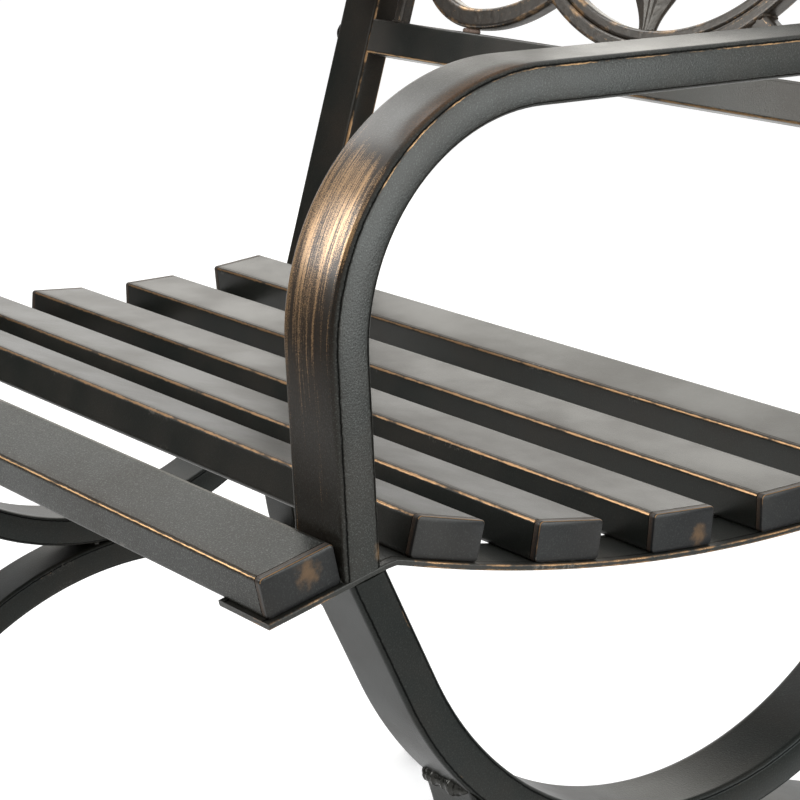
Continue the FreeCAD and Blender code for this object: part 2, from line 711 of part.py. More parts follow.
def build():
    """Every piece by name, in the drawing frame."""
    pieces = {}
    left_pieces = {"arm": arm(), "seat_bar": seat_bar(), "upper_arc": upper_arc(),
                   "leg_arch": leg_arch(), "back_post": back_post(),
                   "front_strut": strut(FRONT_STRUT_WAIST, -1),
                   "rear_strut": strut(REAR_STRUT_WAIST, 1), "back_stile": back_stile(),
                   "lower_scroll": mirrored(scroll(False)), "upper_scroll": mirrored(scroll(True))}
    for name, shape in left_pieces.items():
        pieces[name + "_left"] = shape
        pieces[name + "_right"] = mirrored(shape)
    places = slat_places()
    for number, place in enumerate(places):
        pieces["slat_%d" % (number + 1)] = slat(place)
    sides = [(place, side) for place in places for side in (LEFT, RIGHT)]
    pieces["slat_end_caps"] = group([slat_cap(*pair) for pair in sides])
    pieces["slat_screws"] = group([slat_screw(*pair) for pair in sides])
    pieces["slat_rivet_nuts"] = group([rivet_nut(*pair) for pair in sides])
    caps = foot_caps()
    pieces["foot_caps"] = group(caps + [mirrored(cap) for cap in caps])
    pieces["post_caps"] = group([post_cap(), mirrored(post_cap())])
    pieces["lower_back_rail"] = rail(False)
    pieces["top_back_rail"] = rail(True)
    pieces["rail_plugs"] = group(rail_plugs())
    pieces["rail_bolts"] = group(rail_bolts())
    pieces["rail_washers"] = group(rail_washers())
    pieces["outer_ring"] = ring(RING_RADIUS, RING_BAR, RING_DEPTH)
    pieces["inner_ring"] = ring(RING_RADIUS - RING_BAR, INNER_RING_BAR, INNER_RING_DEPTH)
    pieces["tulip"] = tulip()
    return pieces


def export(pieces):
    """Moves the origin to the bottom centre of the whole and writes one file for each piece."""
    os.makedirs("parts", exist_ok=True)
    box = group(list(pieces.values())).optimalBoundingBox(False, False)
    shift = FreeCAD.Placement(Vector(-box.Center.x, -box.Center.y, -box.ZMin), FreeCAD.Rotation())
    print("whole: %.1f x %.1f x %.1f mm" % (box.XLength, box.YLength, box.ZLength))
    print("moved by", shift.Base)
    for name, shape in pieces.items():
        solids = group([placed(solid, shift) for solid in shape.Solids])
        count, volume = len(solids.Solids), solids.Volume
        print("%-20s %2d solids %9.1f mm3 valid %s" % (name, count, volume, solids.isValid()))
        solids.exportStep("parts/%s.step" % name)


export(build())
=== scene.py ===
import math

import bpy
import numpy as np
from bpy.props import FloatProperty, FloatVectorProperty, PointerProperty
from bpy.types import Operator, Panel, PropertyGroup
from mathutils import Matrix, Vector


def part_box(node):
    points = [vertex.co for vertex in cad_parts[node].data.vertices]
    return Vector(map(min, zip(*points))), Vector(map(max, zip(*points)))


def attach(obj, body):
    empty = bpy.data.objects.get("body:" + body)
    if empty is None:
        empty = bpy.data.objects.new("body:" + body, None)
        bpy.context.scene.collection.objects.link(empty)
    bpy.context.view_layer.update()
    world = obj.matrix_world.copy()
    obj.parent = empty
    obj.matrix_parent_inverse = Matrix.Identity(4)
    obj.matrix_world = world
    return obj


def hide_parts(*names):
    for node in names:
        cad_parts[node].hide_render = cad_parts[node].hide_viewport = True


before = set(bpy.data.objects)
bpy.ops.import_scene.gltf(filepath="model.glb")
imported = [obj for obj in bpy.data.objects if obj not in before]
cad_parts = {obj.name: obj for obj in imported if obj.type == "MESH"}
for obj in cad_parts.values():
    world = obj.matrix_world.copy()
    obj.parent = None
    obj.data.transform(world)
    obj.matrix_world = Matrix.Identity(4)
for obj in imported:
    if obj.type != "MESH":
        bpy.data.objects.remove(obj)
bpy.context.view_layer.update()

bl_info = {
    "name": "Slatted garden armchair",
    "version": (1, 0, 0),
    "blender": (4, 5, 0),
    "location": "3D View > Sidebar > Armchair",
    "description": "Dresses the packed armchair in rubbed bronze tube, slats, scrolls and welds",
    "category": "Object",
}

SIDES = {"left": 1.0, "right": -1.0}
FRONT, REAR = -1, 1
SLATS = ["slat_%d" % number for number in range(1, 7)]
UV_NAME = "along"
WEAR = ("arris", "rub", "fray", "haze", "dull")
WHITE = (1.0, 1.0, 1.0, 1.0)

# Fineness of the surfaces
SHARP_ANGLE = math.radians(38)
RING_STEP = 0.005
WELD_STEP = 0.0008
WELD_LINES = 12
CORNER_STEPS = 4
CORNER_SUPPORT = 0.0008
MEETING_STEPS = 4000
LEAF_RINGS = 60
LEAF_LINES = 17

# Radii of the scrolls' quarter bends and roundings of the cast bars
VOLUTE = (0.068, 0.050, 0.030, 0.020, 0.012)
STILE_EDGE, RING_EDGE, SCROLL_EDGE = 0.0015, 0.0022, 0.0028

# Wear of pieces that are rubbed alike all over
CAST_WEAR = {"fray": 0.45, "haze": 0.12, "rub": 0.42}


def length(name, description, default):
    """Setting in metres."""
    return FloatProperty(name=name, description=description, default=default,
                         unit="LENGTH", precision=4)


def turn_of(name, description, degrees):
    """Setting of an angle, given in degrees."""
    return FloatProperty(name=name, description=description, default=math.radians(degrees),
                         subtype="ANGLE")


def share(name, description, default):
    """Setting between 0 and 1."""
    return FloatProperty(name=name, description=description, default=default,
                         min=0.0, max=1.0, subtype="FACTOR")


def power(name, description, default):
    """Setting of a lamp in watts."""
    return FloatProperty(name=name, description=description, default=default, unit="POWER")


def colour(name, description, default):
    """Setting of a solid colour."""
    return FloatVectorProperty(name=name, description=description, default=(*default, 1.0), size=4,
                               min=0.0, max=1.0, subtype="COLOR")


def box_of(node):
    """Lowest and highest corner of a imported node, as arrays."""
    low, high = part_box(node)
    return np.array(low), np.array(high)


class ChairSizes(PropertyGroup):
    """Sizes of the chair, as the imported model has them."""

    tube_wide: length("Tube width", "Wide face of the rectangular tube", 0.040)
    tube_thin: length("Tube thickness", "Narrow face of the rectangular tube", 0.020)
    tube_edge: length("Tube edge", "Rounding of the slats' and rails' long edges", 0.002)
    frame_edge: length("Frame edge", "Rounding of the frame tubes' long edges", 0.003)
    tube_belly: length("Tube belly", "Bulge of the frame tubes' narrow faces", 0.0005)
    chair_width: length("Chair width", "Over the side frames", 0.630)
    arm_bend: length("Arm bend", "Radius of the arm's front bend at the tube's middle", 0.106)
    post_rake: turn_of("Front post rake", "Slant of the front post, foot rearwards", 3.2)
    front_slope: turn_of("Front slope", "Fall of the seat bar in front of the crest", 13.0)
    bar_thick: length("Seat bar thickness", "Flat bar under the slats", 0.003)
    bar_edge: length("Seat bar edge", "Rounding of the flat bar's edges", 0.0007)
    dish_radius: length("Seat dish", "Radius of the seat's hollow", 0.870)
    dish_low: length("Dish low point", "Lowest point of the dish behind the upper arc's axis", 0.054)
    seat_low: length("Seat low height", "Height of the dish's lowest point", 0.398)
    crest: length("Crest", "From the dish's lowest point forward to the crest", 0.243)
    crest_radius: length("Crest radius", "Bend of the bar over the crest", 0.014)
    front_run: length("Front run", "Length of the bar's front slope", 0.0672)
    upper_arc: length("Upper arc", "Radius of the arc under the seat", 0.197)
    upper_arc_height: length("Upper arc axis", "Height of the upper arc's axis", 0.452)
    upper_arc_spread: turn_of("Upper arc spread", "Half turn of the upper arc", 63.9)
    arch: length("Leg arch", "Radius of the leg arch", 0.240)
    arch_behind: length("Leg arch behind", "Leg arch's axis behind the upper arc's", 0.0285)
    arch_height: length("Leg arch axis", "Height of the leg arch's axis", -0.0043)
    arch_spread: turn_of("Leg arch spread", "Half turn of the leg arch", 60.0)
    strut: length("Strut", "Radius of the struts", 0.165)
    front_waist_y: length("Front strut waist", "Front strut's inmost point", -0.126)
    front_waist_z: length("Front strut waist height", "Height of that point", 0.247)
    rear_waist_y: length("Rear strut waist", "Rear strut's inmost point", 0.164)
    rear_waist_z: length("Rear strut waist height", "Height of that point", 0.266)
    sole: length("Foot sole", "Thickness of the foot caps' soles", 0.006)
    lean: turn_of("Back lean", "Lean of the back from upright", 16.3)
    rail_tall: length("Rail height", "Height of the two back rails", 0.025)
    rail_rise: length("Top rail rise", "Bow of the top rail", 0.028)
    slat_cap: length("Slat cap", "Thickness of the plastic caps on the slats' ends", 0.0045)
    slat_length: length("Slat length", "Slat with its two caps", 0.624)
    ring: length("Ring", "Outer radius of the back's ring", 0.163)
    ring_bar: length("Ring bar", "Bar of the outer ring", 0.010)
    ring_deep: length("Ring depth", "Depth of the outer ring", 0.012)
    inner_bar: length("Inner ring bar", "Bar of the inner ring", 0.008)
    inner_deep: length("Inner ring depth", "Depth of the inner ring", 0.010)
    scroll_bar: length("Scroll bar", "Bar of the scrolls", 0.014)
    scroll_deep: length("Scroll depth", "Depth of the scrolls", 0.012)
    scroll_lift: length("Scroll lift", "Gap between scroll and rail that the weld bridges", 0.003)
    scroll_tail: length("Scroll tail", "Radius of the scrolls' tails", 0.137)
    scroll_tail_turn: turn_of("Scroll tail turn", "Turn of the scrolls' tails", 38.0)
    stile_bar: length("Stile bar", "Width of the stiles beside the scrolls", 0.008)
    stile_deep: length("Stile depth", "Depth of the stiles", 0.010)
    leaf_long: length("Leaf length", "Length of the bud's middle leaf", 0.112)
    leaf_half: length("Leaf half width", "Half the width of the middle leaf", 0.013)
    petal_span: length("Petal span", "Sideways reach of a petal", 0.056)
    petal_tall: length("Petal height", "Height of a petal's tip", 0.078)
    bud_deep: length("Bud depth", "Depth of the bud", 0.009)
    weld: length("Weld bead", "Radius of a weld bead", 0.0021)


class ChairFinish(PropertyGroup):
    """Colours and gloss of the chair's finishes."""

    coat: colour("Coat", "Black-bronze powder coat", (0.0088, 0.0102, 0.0088))
    coat_brown: colour("Coat undertone", "Brown where the coat is thin", (0.020, 0.0145, 0.0100))
    haze: colour("Copper haze", "Brown overspray beside rubbed edges", (0.150, 0.080, 0.038))
    copper: colour("Copper", "Rubbed copper on edges and bends", (0.46, 0.280, 0.135))
    sand: colour("Sand", "Rubbed lines on slats and caps", (0.32, 0.190, 0.095))
    flake: colour("Flakes", "Fine metal flakes in the coat", (0.205, 0.225, 0.205))
    drop: colour("Weld drop", "Bare weld between scroll and rail", (0.40, 0.285, 0.225))
    cast: colour("Cast bronze", "Scrolls, rings and bud", (0.0200, 0.0155, 0.0115))
    cap: colour("Cap plastic", "Slat and post caps", (0.0135, 0.0142, 0.0150))
    sole: colour("Foot plastic", "Soles of the feet", (0.010, 0.010, 0.010))
    scuff: colour("Scuffs", "Pale scratches in the coat", (0.16, 0.145, 0.125))
    # Painted shade: a near-black line beside the long edges, for the dark that the rounded corners
    # reflect
    ink: colour("Dark lines", "Dark line beside the edges", (0.001, 0.001, 0.001))
    burnt: colour("Burnt coat", "Coat between the copper streaks", (0.004, 0.0035, 0.003))
    fastener: colour("Fastener", "Blackened screws and bolts", (0.030, 0.030, 0.032))
    zinc: colour("Zinc", "Zinc-plated nuts and plugs", (0.55, 0.56, 0.58))
    gloss: share("Coat roughness", "Roughness of the coat", 0.31)
    copper_gloss: share("Copper roughness", "Roughness of rubbed copper", 0.30)
    shine: share("Coat reflection", "Reflection of the coat seen square on", 0.42)
    tint: colour("Reflection tint", "Warm tint of the coat's reflection", (1.0, 0.985, 0.92))
    cool: colour("Cool tint", "Tint of the reflection on the lower arcs", (0.95, 1.0, 0.98))


class ChairStage(PropertyGroup):
    """Floor, lamps and camera."""

    floor: colour("Floor", "Colour of the floor behind the chair", (0.92, 0.92, 0.92))
    near_floor: colour("Dark floor", "Colour of the floor beside the white sweep", (0.15, 0.15, 0.15))
    board: colour("Dark board", "Colour of the board round the front", (0.07, 0.07, 0.07))
    ambient: share("Ambient", "Brightness of the room's walls", 0.75)
    key: power("Key lamp", "Power of the lamp at the front left", 13.5)
    top: power("Top lamp", "Power of the lamp high on the left", 6.5)
    wash: power("Wash lamp", "Power of the lamp behind the far side", 16.5)
    flank: power("Flank lamp", "Power of the lamp beside the near side", 3.6)
    lens: FloatProperty(name="Lens", description="Focal length in millimetres", default=109.37,
                        unit="CAMERA")
    yaw: turn_of("Camera yaw", "Way the camera stands round the chair", 52.98)
    pitch: turn_of("Camera pitch", "How far the camera looks down", 15.22)


# Frames that carry drawn paths into space

def drawing_shift(sizes):
    """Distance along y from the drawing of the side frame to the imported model, read at the feet."""
    low, high = box_of("foot_caps")
    return (low[1] + high[1]) / 2 - sizes.arch_behind


def in_side_frame(sizes, side):
    """Places (p, q, a) as y, z and a sideways step from the middle of a side frame."""
    middle = SIDES[side] * (sizes.chair_width - sizes.tube_wide) / 2
    shift = drawing_shift(sizes)
    return lambda p, q, a: (middle + a, p + shift, q)


def in_back_panel(sizes, behind=0.0):
    """Places (p, q, a) as x, height up the lean from the ring's centre, and depth behind the ring."""
    low, high = box_of("outer_ring")
    centre = (low + high) / 2
    rise, lean = math.cos(sizes.lean), math.sin(sizes.lean)
    y, z = centre[1] + behind * rise, centre[2] - behind * lean
    return lambda p, q, a: (p + 0 * a, y + q * lean + a * rise, z + q * rise - a * lean)


def in_rails(sizes):
    """Back panel's placing, moved to the depth of the rails' middle."""
    (rail_low, rail_high), (ring_low, ring_high) = box_of("lower_back_rail"), box_of("outer_ring")
    step = (rail_low + rail_high - ring_low - ring_high) / 2
    return in_back_panel(sizes, step[1] * math.cos(sizes.lean) - step[2] * math.sin(sizes.lean))


def in_slat(sizes, node):
    """Places (p, q, a) as x, height square to the slat and the way across it.

    The front slat lies on the bar's slope. The others lie square to the dish's radius.
    """
    low, high = box_of(node)
    centre = (low + high) / 2
    tilt = sizes.front_slope
    if node != SLATS[0]:
        behind = centre[1] - sizes.dish_low - drawing_shift(sizes)
        tilt = math.atan2(behind, sizes.seat_low + sizes.dish_radius - centre[2])
    c, s = math.cos(tilt), math.sin(tilt)
    return lambda p, q, a: (p + 0 * a, centre[1] + a * c - q * s, centre[2] + a * s + q * c)


def placed(place, p, q, a):
    """Drawn points carried into space, as one array."""
    return np.stack(np.broadcast_arrays(*place(p, q, a)), -1)


# Paths, sections and sweeps

def path_of(start, heading, moves):
    """Runs and bends end to end, as a length and a function of the distance along them.

    At a distance t into a move of curvature c the point lies t * sin(ct/2) / (ct/2) from the
    move's start, in the direction half way between the headings there; c is 0 on a run.
    """
    point, total, rows = np.array(start, float), 0.0, []
    for reach, curve in moves:
        rows.append((total, point[0], point[1], heading, curve))
        chord = reach * np.sinc(curve * reach / 2 / np.pi)
        middle = heading + curve * reach / 2
        point = point + chord * np.array([math.cos(middle), math.sin(middle)])
        heading += curve * reach
        total += reach
    table = np.array(rows)

    def at(distance):
        move = np.clip(np.searchsorted(table[:, 0], distance, side="right") - 1, 0, len(table) - 1)
        begin, p, q, headings, curves = (table[move, column] for column in range(5))
        into = distance - begin
        half = curves * into / 2
        chord = into * np.sinc(half / np.pi)
        return (p + chord * np.cos(headings + half), q + chord * np.sin(headings + half),
                headings + 2 * half)

    return total, at


def run(size):
    """Straight move: its length and no curvature."""
    return size, 0.0


def bend(radius, turn):
    """Bent move: radius times turn as its length, 1 / radius as its curvature, signed as the turn."""
    return radius * abs(turn), math.copysign(1 / radius, turn)


def arched_path(centre, radius, spread, end, hump):
    """Straight end, arc of twice the spread and straight end, over (hump 1) or under (-1) a centre."""
    start = (centre[0] - radius * math.sin(spread) - end * math.cos(spread),
             centre[1] + hump * (radius * math.cos(spread) - end * math.sin(spread)))
    return path_of(start, hump * spread, [run(end), bend(radius, -hump * 2 * spread), run(end)])


def tube_section(wide, thin, edge, belly=0.0):
    """Rounded rectangle: flats at half the width and thickness, joined by quarter circles.

    The narrow faces may bulge by belly * (1 - (b / flat)^2). Its right half goes from bottom to
    top and its left half is the mirror image, so that point j faces point -1 - j. With a and b it
    gives the signed distance to the nearest long edge, above 0 on the wide faces and below 0 on
    the narrow ones.
    """
    flat_a, flat_b = wide / 2 - edge, thin / 2 - edge
    near_a, near_b = (min(CORNER_SUPPORT, 0.3 * flat) for flat in (flat_a, flat_b))
    low = np.append(flat_a * np.array([0.08, 0.3, 0.52, 0.7, 0.84]), flat_a - near_a)
    side = np.concatenate([[-flat_b + near_b], flat_b * np.linspace(-0.7, 0.7, 5), [flat_b - near_b]])
    quarter = np.radians(np.linspace(0, 90, CORNER_STEPS + 1))
    bulge = belly * (1 - (side / flat_b) ** 2)
    level = np.full(len(low), thin / 2)
    a = np.concatenate([low, flat_a + edge * np.sin(quarter), wide / 2 + bulge,
                        flat_a + edge * np.cos(quarter), low[::-1]])
    b = np.concatenate([-level, -flat_b - edge * np.cos(quarter), side,
                        flat_b + edge * np.sin(quarter), level])
    a, b = np.append(a, -a[::-1]), np.append(b, b[::-1])
    over_a, over_b = np.abs(a) - flat_a, np.abs(b) - flat_b
    eighth = edge * math.pi / 4
    corner = edge * np.arctan2(np.maximum(over_b, 0), np.maximum(over_a, 0)) - eighth
    arris = np.where(over_a <= 0, eighth - over_a, np.where(over_b <= 0, over_b - eighth, corner))
    return {"a": a, "b": b, "arris": arris, "wide": wide, "thin": thin}


def first_meeting(path, offsets, start, reach, free):
    """Distance along the path where each offset line first meets a cutter, going out from start.

    The free function is above 0 outside the cutter and below 0 inside; the crossing is
    interpolated between the two samples it lies between. A line that passes the cutter by ends
    at the reach's end.
    """
    distance = start + np.linspace(0, 1, MEETING_STEPS)[:, None] * reach + 0 * offsets
    p, q, heading = path[1](distance)
    value = free(p - np.sin(heading) * offsets, q + np.cos(heading) * offsets)
    hit = np.maximum(np.argmax(value < 0, axis=0), 1)
    line = np.arange(len(offsets))
    before, after = value[hit - 1, line], value[hit, line]
    met = after < 0
    if not met.any():
        raise RuntimeError("a tube's end doesn't reach what it is welded to")
    part = before / np.where(met, before - after, 1.0)
    crossing = distance[hit - 1, line] + part * (distance[hit, line] - distance[hit - 1, line])
    return np.where(met, crossing, start + reach)


def quads_round(rings, lines, closed=False):
    """Quads between neighbouring rings of points; a closed row also joins the last to the first."""
    i = np.arange(rings if closed else rings - 1)[:, None]
    j = np.arange(lines)[None, :]
    here, there, beside = i * lines, (i + 1) % rings * lines, (j + 1) % lines
    corners = (here + j, here + beside, there + beside, there + j)
    return np.stack(np.broadcast_arrays(*corners), -1).reshape(-1, 4)


def end_caps(rings, lines):
    """Strips that close the first and last ring, from each point j to point -1 - j, which faces it."""
    half = np.arange(lines // 2 - 1)
    cap = np.stack([half, lines - 1 - half, lines - 2 - half, half + 1], -1)
    return np.append(cap, cap[:, ::-1] + (rings - 1) * lines, axis=0)


def surface(points, quads, uv, arris, fray=0.0, haze=0.0):
    """Grid of points with its quads, uv and wear, each wear spread over all the points."""
    even = lambda value: np.broadcast_to(value, points.shape[:2]).flatten()
    return {"points": points.reshape(-1, 3), "quads": quads, "uv": uv, "arris": even(arris),
            "rub": even(0.0), "fray": even(fray), "haze": even(haze), "dull": even(0.0)}


def sweep(path, section, place, first=None, last=None, stations=None, inset=0.0, closed=False,
          spare=0.06):
    """Section carried along a path: point = path(s) + b * left normal, set a sideways by place.

    Each line of the section runs from its own start to its own end, where it meets the pieces
    that it is welded to, and the inset draws the section in. The uv map holds the distance along
    the path and round the section.
    """
    total, at = path
    a, b = section["a"], section["b"]
    half = total / 2
    begin = 0 * b if first is None else first_meeting(path, b, half, -half - spare, first)
    end = 0 * b + total if last is None else first_meeting(path, b, half, half + spare, last)
    if stations is None:
        stations = np.linspace(0, 1, max(3, int(total / RING_STEP)), endpoint=not closed)
    inset = (np.zeros(len(stations)) + inset)[:, None]
    distance = begin + stations[:, None] * (end - begin)
    p, q, heading = at(distance)
    aside, lift = a * (1 - inset / (section["wide"] / 2)), b * (1 - inset / (section["thin"] / 2))
    points = placed(place, p - np.sin(heading) * lift, q + np.cos(heading) * lift, aside)
    rings, lines = distance.shape
    quads = quads_round(rings, lines, closed)
    girth = np.append(0, np.cumsum(np.hypot(np.roll(a, -1) - a, np.roll(b, -1) - b)))
    at_ring, at_line = np.divmod(quads, lines)
    u, v = distance[at_ring, at_line], girth[at_line]
    v[lines - 1::lines, 1:3] = girth[-1]
    if closed:
        u[-lines:, 2:] = total
    uv = np.stack([u, v], -1)
    if not closed:
        ends = end_caps(rings, lines)
        quads = np.append(quads, ends, axis=0)
        uv = np.append(uv, np.stack([a, b], -1)[ends % lines], axis=0)
    grid = surface(points, quads, uv, section["arris"], fray=0.25)
    grid.update(distance=distance.ravel(), heading=heading.ravel(), aside=aside.ravel(),
                lift=lift.ravel(), first=points[0], last=points[-1])
    return grid


def outward(grid):
    """Quads turned to face outwards: the sum of the corner products is six times the volume."""
    corner = grid["points"][grid["quads"]]
    middle = grid["points"].mean(axis=0)
    one, two, three, four = (corner[:, number] - middle for number in range(4))
    volume = np.einsum("ij,ij->", one, np.cross(two, three) + np.cross(three, four))
    if volume < 0:
        grid["quads"], grid["uv"] = grid["quads"][:, ::-1], grid["uv"][:, ::-1]
    return grid


def piece(name, grids, material, nodes=()):
    """One mesh piece from its grids, with the uv map and the wear attributes, riding on the chair."""
    grids = [outward(grid) for grid in grids]
    starts = np.cumsum([0] + [len(grid["points"]) for grid in grids])
    points = np.concatenate([grid["points"] for grid in grids])
    quads = np.concatenate([grid["quads"] + start for grid, start in zip(grids, starts)])
    if not len(quads) or not np.isfinite(points).all():
        raise RuntimeError("%s has no sound surface" % name)
    mesh = bpy.data.meshes.new(name)
    mesh.from_pydata(points.tolist(), [], quads.tolist())
    uv = np.concatenate([grid["uv"] for grid in grids]).astype(np.float32)
    mesh.uv_layers.new(name=UV_NAME).data.foreach_set("uv", uv.ravel())
    for attribute in WEAR:
        values = np.concatenate([grid[attribute] for grid in grids]).astype(np.float32)
        mesh.attributes.new(attribute, "FLOAT", "POINT").data.foreach_set("value", values)
    mesh.polygons.foreach_set("use_smooth", np.ones(len(quads), bool))
    mesh.set_sharp_from_angle(angle=SHARP_ANGLE)
    mesh.materials.append(material)
    mesh.update()
    shown = bpy.data.objects.new(name, mesh)
    bpy.context.scene.collection.objects.link(shown)
    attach(shown, "root")
    if nodes:
        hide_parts(*nodes)
    return shown


def ramp(value, low, high):
    """Smooth step from 0 at low to 1 at high, 3t^2 - 2t^3."""
    t = np.clip((value - low) / (high - low), 0, 1)
    return t * t * (3 - 2 * t)


# Side frame pieces

def frame_tube(sizes):
    """Section of the frame's tubes: the rounded rectangle with a slight belly."""
    return tube_section(sizes.tube_wide, sizes.tube_thin, sizes.frame_edge, sizes.tube_belly)


def slat_tube(sizes):
    """Section of the slats: the rounded rectangle with flat faces."""
    return tube_section(sizes.tube_wide, sizes.tube_thin, sizes.tube_edge)


def dish_centre(sizes):
    """Centre of the seat's hollow: one dish radius above its lowest point."""
    return sizes.dish_low, sizes.seat_low + sizes.dish_radius


def bar_path(sizes):
    """Middle of the seat bar from its rear end along the dish, over the crest and down the slope."""
    _, high = box_of("seat_bar_left")
    rear = high[1] - drawing_shift(sizes) - sizes.dish_low
    middle = sizes.bar_thick / 2
    back_turn = math.asin(rear / sizes.dish_radius)
    crest_turn = math.asin(sizes.crest / sizes.dish_radius)
    y, z = dish_centre(sizes)
    radius = sizes.dish_radius + middle
    start = (y + radius * math.sin(back_turn), z - radius * math.cos(back_turn))
    moves = [bend(radius, -(back_turn + crest_turn)),
             bend(sizes.crest_radius - middle, crest_turn + sizes.front_slope),
             run(sizes.front_run)]
    return path_of(start, math.pi + back_turn, moves)


def slope_line(sizes, below):
    """Front slope of the seat bar: height of a point over the bar's face, negative under it."""
    total, at = bar_path(sizes)
    p, q, heading = at(np.array(total - sizes.front_run / 2))
    normal = (math.sin(heading), -math.cos(heading))
    level = sizes.bar_thick / 2 - below
    return lambda y, z: (y - p) * normal[0] + (z - q) * normal[1] - level


def seat_bar(sizes, side):
    """Flat rounded bar carried along the bar's path; its copper stops where the front post stands."""
    section = tube_section(sizes.tube_wide, sizes.bar_thick, sizes.bar_edge)
    grid = sweep(bar_path(sizes), section, in_side_frame(sizes, side))
    post = arm(sizes, side)["last"][:, 1]
    y = grid["points"][:, 1]
    before, behind = 0.004, 0.016
    joined = (y > post.min() - before) & (y < post.max() + behind)
    outer_edge, inner_edge, none = 0.62, 0.2, -1.0
    outside = grid["aside"] * SIDES[side] > 0
    grid["fray"] = np.where(joined, none, np.where(outside, outer_edge, inner_edge))
    return grid


def back_plane(sizes):
    """Front plane of the back posts as a point, the way up it and the way through it."""
    _, high = box_of("back_post_left")
    rise, lean = math.cos(sizes.lean), math.sin(sizes.lean)
    point = (high[1] - sizes.tube_thin * rise - drawing_shift(sizes), high[2])
    return point, (lean, rise), (rise, -lean)


def arm(sizes, side):
    """Arm from the back post forward, round the bend and down to the seat bar's slope."""
    low, high = box_of("arm_left")
    shift, half_thin = drawing_shift(sizes), sizes.tube_thin / 2
    centre_y = low[1] + sizes.arm_bend + half_thin - shift
    rear, top = high[1] - shift, high[2] - half_thin
    level, around = rear - centre_y, math.pi / 2 + sizes.post_rake
    moves = [run(level), bend(sizes.arm_bend, around), run(top - sizes.arm_bend - low[2])]
    point, _, through = back_plane(sizes)
    free_of_post = lambda y, z: -(y - point[0]) * through[0] - (z - point[1]) * through[1]
    grid = sweep(path_of((rear, top), math.pi, moves), frame_tube(sizes), in_side_frame(sizes, side),
                 free_of_post, slope_line(sizes, 0.0))
    return worn_arm(sizes, grid, SIDES[side], level + sizes.arm_bend * around)


def worn_arm(sizes, grid, outer, bend_end):
    """Wear and crown of an arm, by the path's turn in degrees and the place across the tube.

    Copper comes in by a smooth step over the bend's upper part, thins out down the post and
    leaves the outer edge bare; a brown band lies along that edge before the bend. The crown
    lifts the bend's outer face by its height times 1 - |place|^3.
    """
    turned = np.degrees(grid["heading"] - math.pi)
    past = grid["distance"] - bend_end
    half = sizes.tube_wide / 2
    near = outer * grid["aside"] / half
    upside = grid["lift"] < 0
    on_face = upside & (grid["arris"] > 0.0008)
    coming = ramp(turned, 34 + 7 * near, 52)
    thinning = 1 - 0.68 * ramp(past, -0.05, 0.05)
    bare_edge = 0.5 * ramp(near, 0.3, 0.9) * ramp(turned, 64, 78)
    inner_edge = 0.2 * ramp(-near, 0.6, 0.95)
    brown_band = ramp(near, 0.2, 0.9) * ramp(turned, 1, 12) * (1 - ramp(turned, 34, 46))
    rub = np.maximum(coming * thinning * (1 - bare_edge + inner_edge), 0.3 * brown_band)
    edge_line, under_line = 0.62, 0.1
    edge_fray = np.where(near < 0, edge_line + 0.25 * rub, edge_line - 1.3 * ramp(turned, 48, 75))
    grid["rub"] = np.where(on_face, rub, 0.0)
    grid["fray"] = np.where(upside, edge_fray, under_line)
    grid["haze"] = np.where(on_face, np.maximum(0.22 * rub, 0.8 * brown_band), 0.0)
    grid["dull"] = np.where(on_face, 1 - ramp(grid["distance"], 0.05, 0.30), 0.0)
    crown_high = 0.0011
    crown = crown_high * ramp(turned, 30, 55) * (1 - ramp(past, 0.0, 0.05)) * (1 - np.abs(near) ** 3)
    flat = np.abs(grid["aside"]) <= half - sizes.frame_edge + 1e-6
    crown = np.where(upside & flat, crown, 0.0)
    grid["points"][:, 1] += np.sin(grid["heading"]) * crown
    grid["points"][:, 2] -= np.cos(grid["heading"]) * crown
    return grid


def upper_arc(sizes, side):
    """Arc under the seat with straight ends up to the bar's lower face."""
    end, under = 0.07, -1
    centre = (0.0, sizes.upper_arc_height)
    path = arched_path(centre, sizes.upper_arc, sizes.upper_arc_spread, end, under)
    y, z = dish_centre(sizes)
    over_slope = slope_line(sizes, sizes.bar_thick)
    under_dish = lambda p, q: np.hypot(p - y, q - z) - sizes.dish_radius - sizes.bar_thick
    return sweep(path, frame_tube(sizes), in_side_frame(sizes, side),
                 lambda p, q: -over_slope(p, q), under_dish)


def leg_arch(sizes, side):
    """Front leg, round arch and rear leg, ending on the foot caps' soles."""
    spread, radius, over = sizes.arch_spread, sizes.arch, 1
    leg = (sizes.arch_height + radius * math.cos(spread)) / math.sin(spread)
    path = arched_path((sizes.arch_behind, sizes.arch_height), radius, spread, leg, over)
    above_sole = lambda p, q: q - sizes.sole
    return sweep(path, frame_tube(sizes), in_side_frame(sizes, side), above_sole, above_sole)


def bearing_of_meeting(one, radius_one, other, radius_other, way):
    """Angle at the first circle's centre where it crosses the second, by the rule of cosines.

    The crossing lies left (way 1) or right (way -1) of the line to the second centre.
    """
    far = math.hypot(other[0] - one[0], other[1] - one[1])
    cosine = (far ** 2 + radius_one ** 2 - radius_other ** 2) / (2 * far * radius_one)
    return math.atan2(other[1] - one[1], other[0] - one[0]) + way * math.acos(min(1.0, cosine))


